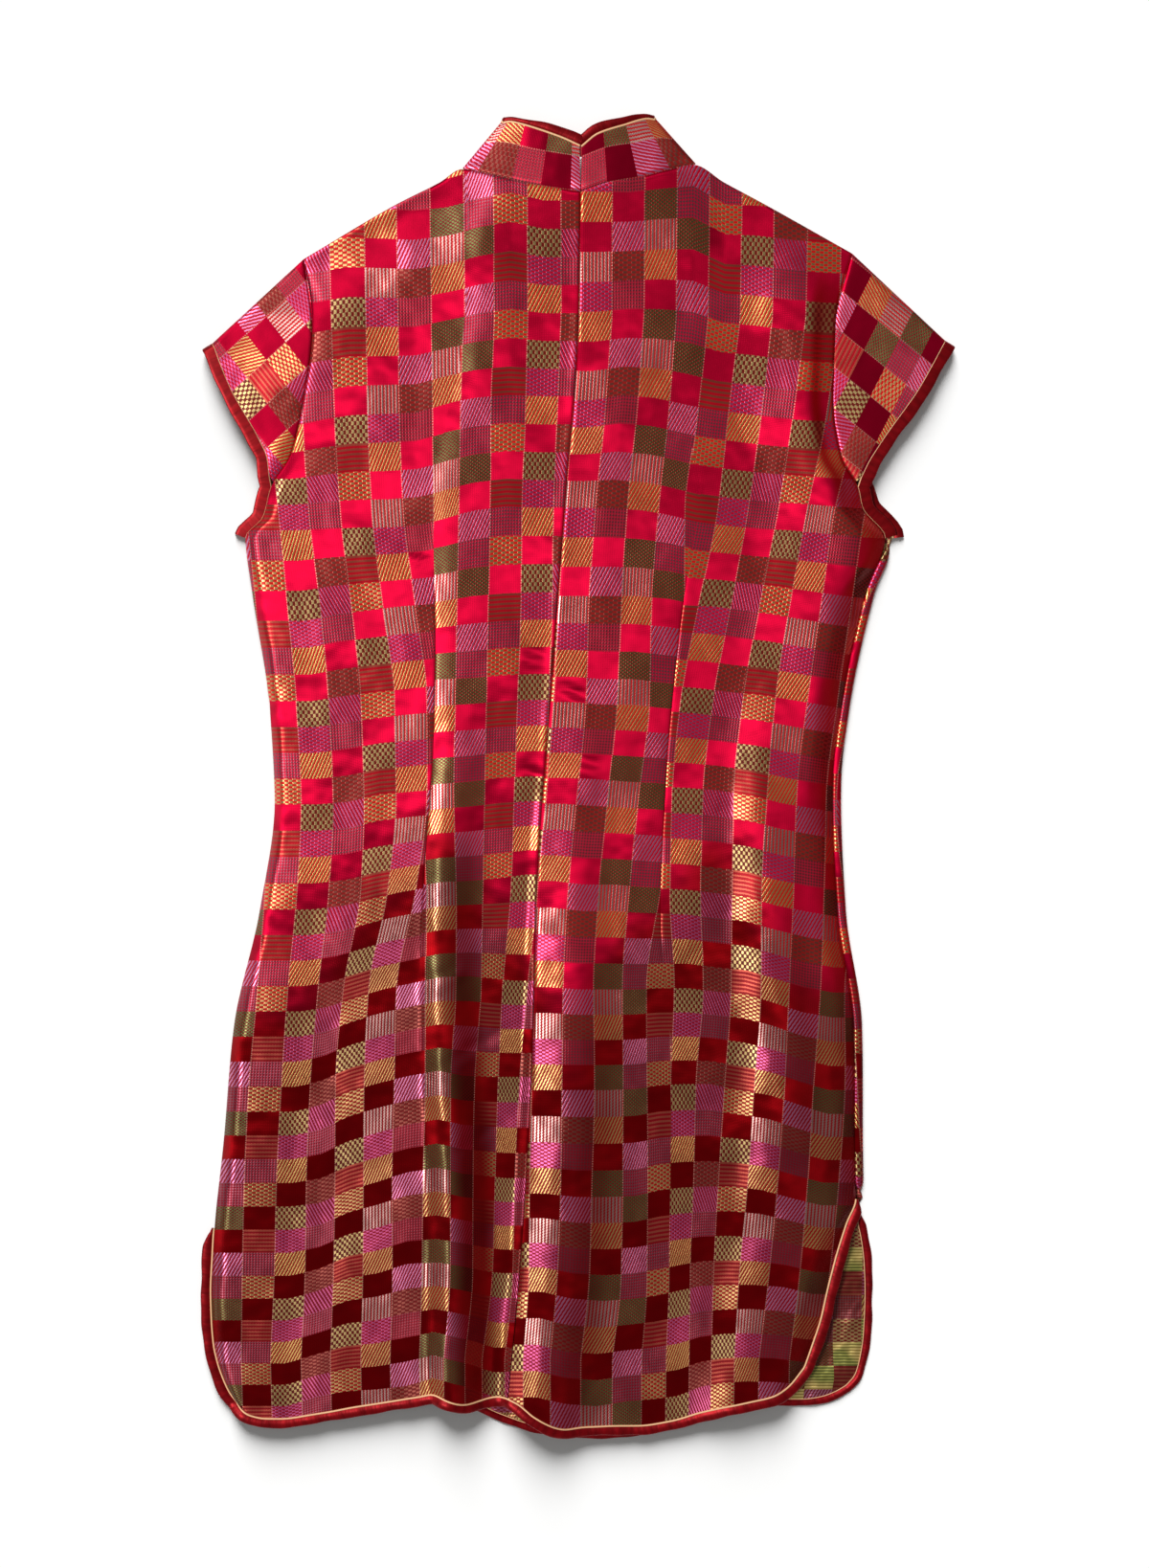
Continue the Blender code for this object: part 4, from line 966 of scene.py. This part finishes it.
armhole, join = row_of("underarm"), row_of("sleeve")
for name, panel, edge, hem_table, lie, side, cut_area in (
    ("left", back_left, front[:, 0], SLEEVE_HEM_LEFT, SLEEVE_CHECK_LEFT, -1, 0.0137),
    ("right", back_right, front[:, -1], SLEEVE_HEM_RIGHT, SLEEVE_CHECK_RIGHT, 1, 0.016),
):
    back_edge = panel[join:, 0]
    grid = sleeve(back_edge, edge[join:], hem_table, side)
    half = len(back_edge)
    # The front layer is charted where it would lie if the sleeve were opened out along the shoulder fold.
    opened = grid[..., :2].copy()
    first, last = grid[half - 1, 0, :2], grid[half - 1, -1, :2]
    fold_way = unit(last - first)
    across_fold = np.array([-fold_way[1], fold_way[0]])
    under = half + FOLD_ROWS // 2
    off = (opened[under:] - first) @ across_fold
    opened[under:] -= 2 * off[..., None] * across_fold
    number, middle, next_across, next_down = lie
    to_cells = np.linalg.inv(np.array([next_across, next_down], float))
    sleeve_chart = (opened - middle) @ to_cells + number
    order = slice(None, None, side)
    charts = (sleeve_chart[:, order],) * 2
    piece = cloth(f"{name}_sleeve", grid[:, order], charts, NO_DART, CLOTH, brocade, brocade_wrong)
    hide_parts(f"sleeve_{name}")
    before, after = panel[armhole:join, 0], edge[armhole:join][::-1]
    line = np.concatenate([before, grid[:, -1], after])
    out = np.concatenate([
        outward(np.concatenate([before, grid[: half - 1, -1]]), CHEST_MIDDLE),
        np.tile(unit(np.array([*OFF_SHOULDER, 0.0]) * (side, 1, 1)), (FOLD_ROWS + 2, 1)),
        outward(np.concatenate([grid[half + FOLD_ROWS + 1 :, -1], after]), CHEST_MIDDLE),
    ])
    nodes = (f"armhole_binding_{name}", f"armhole_piping_{name}")
    trim(f"{name}_armhole", nodes, line, out=out, seed=80 * side)

# ---- Stand collar -----------------------------------------------------------------------------------
# A stiffened band of the brocade stands round the neck and is pressed flat here: its back half over its
# front half, open at the centre back, with the same piping and binding along its top.

COLLAR_CLOTH = 1.3  # thickness with its stiffening
COLLAR_TOP_LEFT = (
    (3.6, 479, 11.5), (-7, 483.5, 11.5), (-18, 487, 11), (-30, 490, 10), (-40, 492, 8.5), (-47, 493, 6.5),
    (-52, 492.5, 4.8),
)
COLLAR_TOP_RIGHT = (
    (5.6, 478.5, 11.5), (17, 487, 11.5), (27, 490, 11), (37, 492, 10), (46, 494, 8.5), (53, 495, 6.5),
    (58, 494.5, 4.8),
)
COLLAR_FRONT_Z = 1.9  # height of its front's top, which its binding holds off the table
COLLAR_TOP_FRONT = ((-49, 475), (-38, 460), (-20, 449), (2.5, 445), (26, 449), (44, 461), (55, 476))
COLLAR_ENDS = (-81, 88)  # x of the folds at the two sides of the neck
COLLAR_STATIONS = 26  # along each half of its back
SIDE_FOLD_STATIONS = 7
FRONT_STATIONS = 42
COLLAR_ROWS = 12  # from the neck seam to its top
TOP_INSET = (0.6, 3.4)  # its cloth's from the binding's edge: at the side folds, and more at the centre back
BINDING_SHARE = (0.48, 0.4)  # of the binding's full width, at the same two places
COLLAR_SWELL = 0.8  # how far its back half rises in the middle
CHECK_ACROSS = 2.46  # the check's column on the neck seam
CHECK_ENDS = (1.82, -0.45)  # the check's rows at its left and right ends
CHECK_EASE = 100  # from each end, past which the two rows are brought to meet
LAYER_GAP = 0.3  # between the front panel and the collar that lies on it


def from_back(share, at_fold, more):
    """A size that falls by `more` from the centre back to the side fold."""
    return at_fold + more * (1 - smooth(share / 0.9))


def collar_half(panel, table, side):
    """Neck and top points of the back layer, from the centre back out to the side fold."""
    seam = panel[-1, np.argsort(panel[-1, :, 0])]
    x = np.linspace(panel[-1, -1, 0], COLLAR_ENDS[side > 0], COLLAR_STATIONS)
    neck = np.stack([x, np.interp(x, seam[:, 0], seam[:, 1]), np.interp(x, seam[:, 0], seam[:, 2])], -1)
    share = np.linspace(0, 1, COLLAR_STATIONS)
    top = through(table, share)
    top -= unit(top - neck) * from_back(share, *TOP_INSET)[:, None]
    low = [np.append(neck[-1, :2], FRONT_MIDDLE + LAYER_GAP), np.append(top[-1, :2], COLLAR_FRONT_Z)]
    rise = top[-1] - neck[-1]
    out = unit(np.array([side * rise[1], abs(rise[0])]))
    turned = zip(*(fold(high[-1], under, out, SIDE_FOLD_STATIONS) for high, under in zip((neck, top), low)))
    return [*zip(neck, top)], [*turned, tuple(low)]


back_left_band, turn_left = collar_half(back_left, COLLAR_TOP_LEFT, -1)
back_right_band, turn_right = collar_half(back_right, COLLAR_TOP_RIGHT, 1)
first, last = back_left_band[-1][0][0], back_right_band[-1][0][0]
x = np.linspace(first, last, FRONT_STATIONS)[1:-1]
front_neck = np.stack([x, curve(FRONT_TOP, x) + 0.6, x * 0 + FRONT_MIDDLE + LAYER_GAP], -1)
x = np.linspace(turn_left[-1][1][0], turn_right[-1][1][0], FRONT_STATIONS)[1:-1]
front_top = np.stack([x, curve(COLLAR_TOP_FRONT, x), x * 0 + COLLAR_FRONT_Z], -1)
stations = back_left_band + turn_left + [*zip(front_neck, front_top)]
stations += turn_right[::-1] + back_right_band[::-1]
rise = steps(COLLAR_ROWS, first=True)[:, None]
collar = np.array([low + (top - low) * rise for low, top in stations])
upper = np.r_[0 : len(back_left_band), len(stations) - len(back_right_band) : len(stations)]
collar[upper, :, 2] -= rounding(np.linalg.norm(collar[upper] - collar[upper, :1], axis=-1))
collar[upper, :, 2] += COLLAR_SWELL * np.sin(math.pi * rise[:, 0]) ** 0.6
along = travel(collar.mean(1))
# Both ends follow the check where they meet at the centre back. The difference is taken up in front.
left_end, right_end = CHECK_ENDS[0], CHECK_ENDS[1] + along[-1] / CELL[1]
spare = (right_end - left_end + 2) % 4 - 2
down = left_end - along / CELL[1] + spare * smooth((along - CHECK_EASE) / (along[-1] - 2 * CHECK_EASE))
high = np.linalg.norm(collar - collar[:, :1], axis=-1)
down = np.repeat(down[:, None], high.shape[1], 1)
charts = (np.stack([CHECK_ACROSS + high / CELL[0], down], -1),) * 2
piece = cloth("stand_collar", collar, charts, NO_DART, COLLAR_CLOTH, brocade, brocade_wrong)
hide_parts("collar")
# Its binding narrows from the centre back to the folds.
share = np.linspace(0, 1, COLLAR_STATIONS)
share = np.concatenate([share, np.ones(len(stations) - 2 * COLLAR_STATIONS), share[::-1]])
wide = from_back(share, *BINDING_SHARE)
out = unit(collar[:, -1] - collar[:, -3])
trim("collar", ("collar_binding", "collar_piping"), collar[:, -1], out=out, wide=wide[:, None])

# ---- Concealed zip ----------------------------------------------------------------------------------
# Two woven polyester tapes are sewn inside the centre back from the hip to the collar's top, with a
# nylon coil between them and a small lacquered slider closed at the top. Its pull is tucked inside.

ZIP_FOOT_Y = 40
TAPE = (13.0, 9.0, 5.0, 2.0)  # from the seam to the columns of a tape, its outer edge first
TAPE_CLOTH = 0.6
TAPE_DEPTH = (1.0, 1.2)  # under the middle of the panels' cloth, and of the collar's
COIL = (1.15, 0.45)  # half its width and half its height
COIL_DEPTH = 0.2  # under the middle of the tapes
COIL_TURN = (10, 0.14)  # points to a turn, and how far one is from the next
HIDDEN_TURNS = 4  # left off at the top, inside the slider
NYLON = 0.24  # radius of its thread
SLIDER = (4.6, 9.0, 2.6)
SLIDER_AT = (0, 6.0, -0.6)  # its middle, from the top of the coil
SLIDER_TAPER = 0.7  # its width at its foot, as a share of that at its top
SLIDER_EDGE = 0.6  # radius of its rounded edges

# Woven polyester: dull, with fine ribs half a millimetre apart along it.
zip_tape, tree, shader = material("woven_polyester_zip_tape")
lie = node(tree, "UVMap", {}, uv_map="chart")
ribs = node(tree, "TexWave", {"Vector": lie, "Scale": 6.0, "Distortion": 0.4}, bands_direction="X")
shade = node(tree, "Mix", {0: ribs, 6: linear("7A0A14"), 7: linear("A81622")}, 2, data_type="RGBA")
tree.links.new(shade, shader.inputs["Base Color"])
relief = node(tree, "Bump", {"Height": ribs, "Strength": 0.5, "Distance": 0.0002})
tree.links.new(relief, shader.inputs["Normal"])
shader.inputs["Roughness"].default_value = 0.7

# Drawn nylon thread, dyed dark red: smooth, with a soft shine and wear in specks of about a millimetre.
zip_nylon, tree, shader = material("dyed_nylon_zip_coil")
place = node(tree, "TexCoord", {}, 3)
wear = node(tree, "TexNoise", {"Vector": place, "Scale": 900.0})
shade = node(tree, "Mix", {0: wear, 6: linear("5E0A12"), 7: linear("8E1620")}, 2, data_type="RGBA")
tree.links.new(shade, shader.inputs["Base Color"])
shader.inputs["Roughness"].default_value = 0.35

# Red lacquer baked on cast zinc: a thin clear gloss over a colour that is rubbed in places.
lacquer, tree, shader = material("lacquered_zinc_slider")
place = node(tree, "TexCoord", {}, 3)
wear = node(tree, "TexNoise", {"Vector": place, "Scale": 700.0, "Detail": 3.0})
shade = node(tree, "Mix", {0: wear, 6: linear("8E1018"), 7: linear("A8202A")}, 2, data_type="RGBA")
tree.links.new(shade, shader.inputs["Base Color"])
tree.links.new(node(tree, "MapRange", {0: wear, 3: 0.28, 4: 0.45}), shader.inputs["Roughness"])
shader.inputs["Coat Weight"].default_value = 0.4

tape_near = []
for name, panel, ends, side in (("left", back_left, collar[0], -1), ("right", back_right, collar[-1], 1)):
    rows = [row[-1] - (0, 0, TAPE_DEPTH[0]) for row in panel if row[-1, 1] > ZIP_FOOT_Y]
    rows += [point - (0, 0, TAPE_DEPTH[1]) for point in ends[1:-1]]
    near = np.array(rows)
    grid = np.stack([near + (side * across, 0, 0) for across in TAPE], 1)
    grid = grid if side < 0 else grid[:, ::-1]
    charts = (grid[..., :2] / 10,) * 2
    piece = cloth(f"{name}_zip_tape", grid, charts, NO_DART, TAPE_CLOTH, zip_tape, zip_tape)
    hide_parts(f"zip_tape_{name}")
    tape_near.append(near)

count = min(len(near) for near in tape_near)
seam = (tape_near[0][-count:] + tape_near[1][-count:]) / 2 - (0, 0, COIL_DEPTH)
middle = evenly(seam, COIL_TURN[1])[: -HIDDEN_TURNS * COIL_TURN[0]]
turns = np.arange(len(middle)) / COIL_TURN[0] * math.tau
out = np.stack([np.cos(turns), np.zeros(len(turns)), np.sin(turns)], -1)
coil = middle + out * (COIL[0], 0, COIL[1])
tube = [(NYLON * math.cos(t), NYLON * math.sin(t)) for t in np.arange(5) / 5 * math.tau]
piece = sweep("zip_coil_spiral", coil, out, tube, zip_nylon)
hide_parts("zip_coil")

heart = (middle[-1] + SLIDER_AT + PLAN) / MM
bpy.ops.mesh.primitive_cube_add(size=1, location=heart)
slider = bpy.context.object
slider.name = "zip_slider_body"
slider.data.transform(slider.matrix_world)
slider.matrix_world.identity()
for vertex in slider.data.vertices:
    vertex.co = [heart[k] + (vertex.co[k] - heart[k]) * SLIDER[k] / MM for k in range(3)]
    if vertex.co.y < heart[1]:
        vertex.co.x = heart[0] + (vertex.co.x - heart[0]) * SLIDER_TAPER
bevel = slider.modifiers.new("edges", "BEVEL")
bevel.width = SLIDER_EDGE / MM
bevel.segments = 3
bpy.context.view_layer.objects.active = slider
bpy.ops.object.modifier_apply(modifier="edges")
slider.data.materials.append(lacquer)
slider.data.polygons.foreach_set("use_smooth", np.ones(len(slider.data.polygons), bool))
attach(slider, "root")
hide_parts("zip_slider")
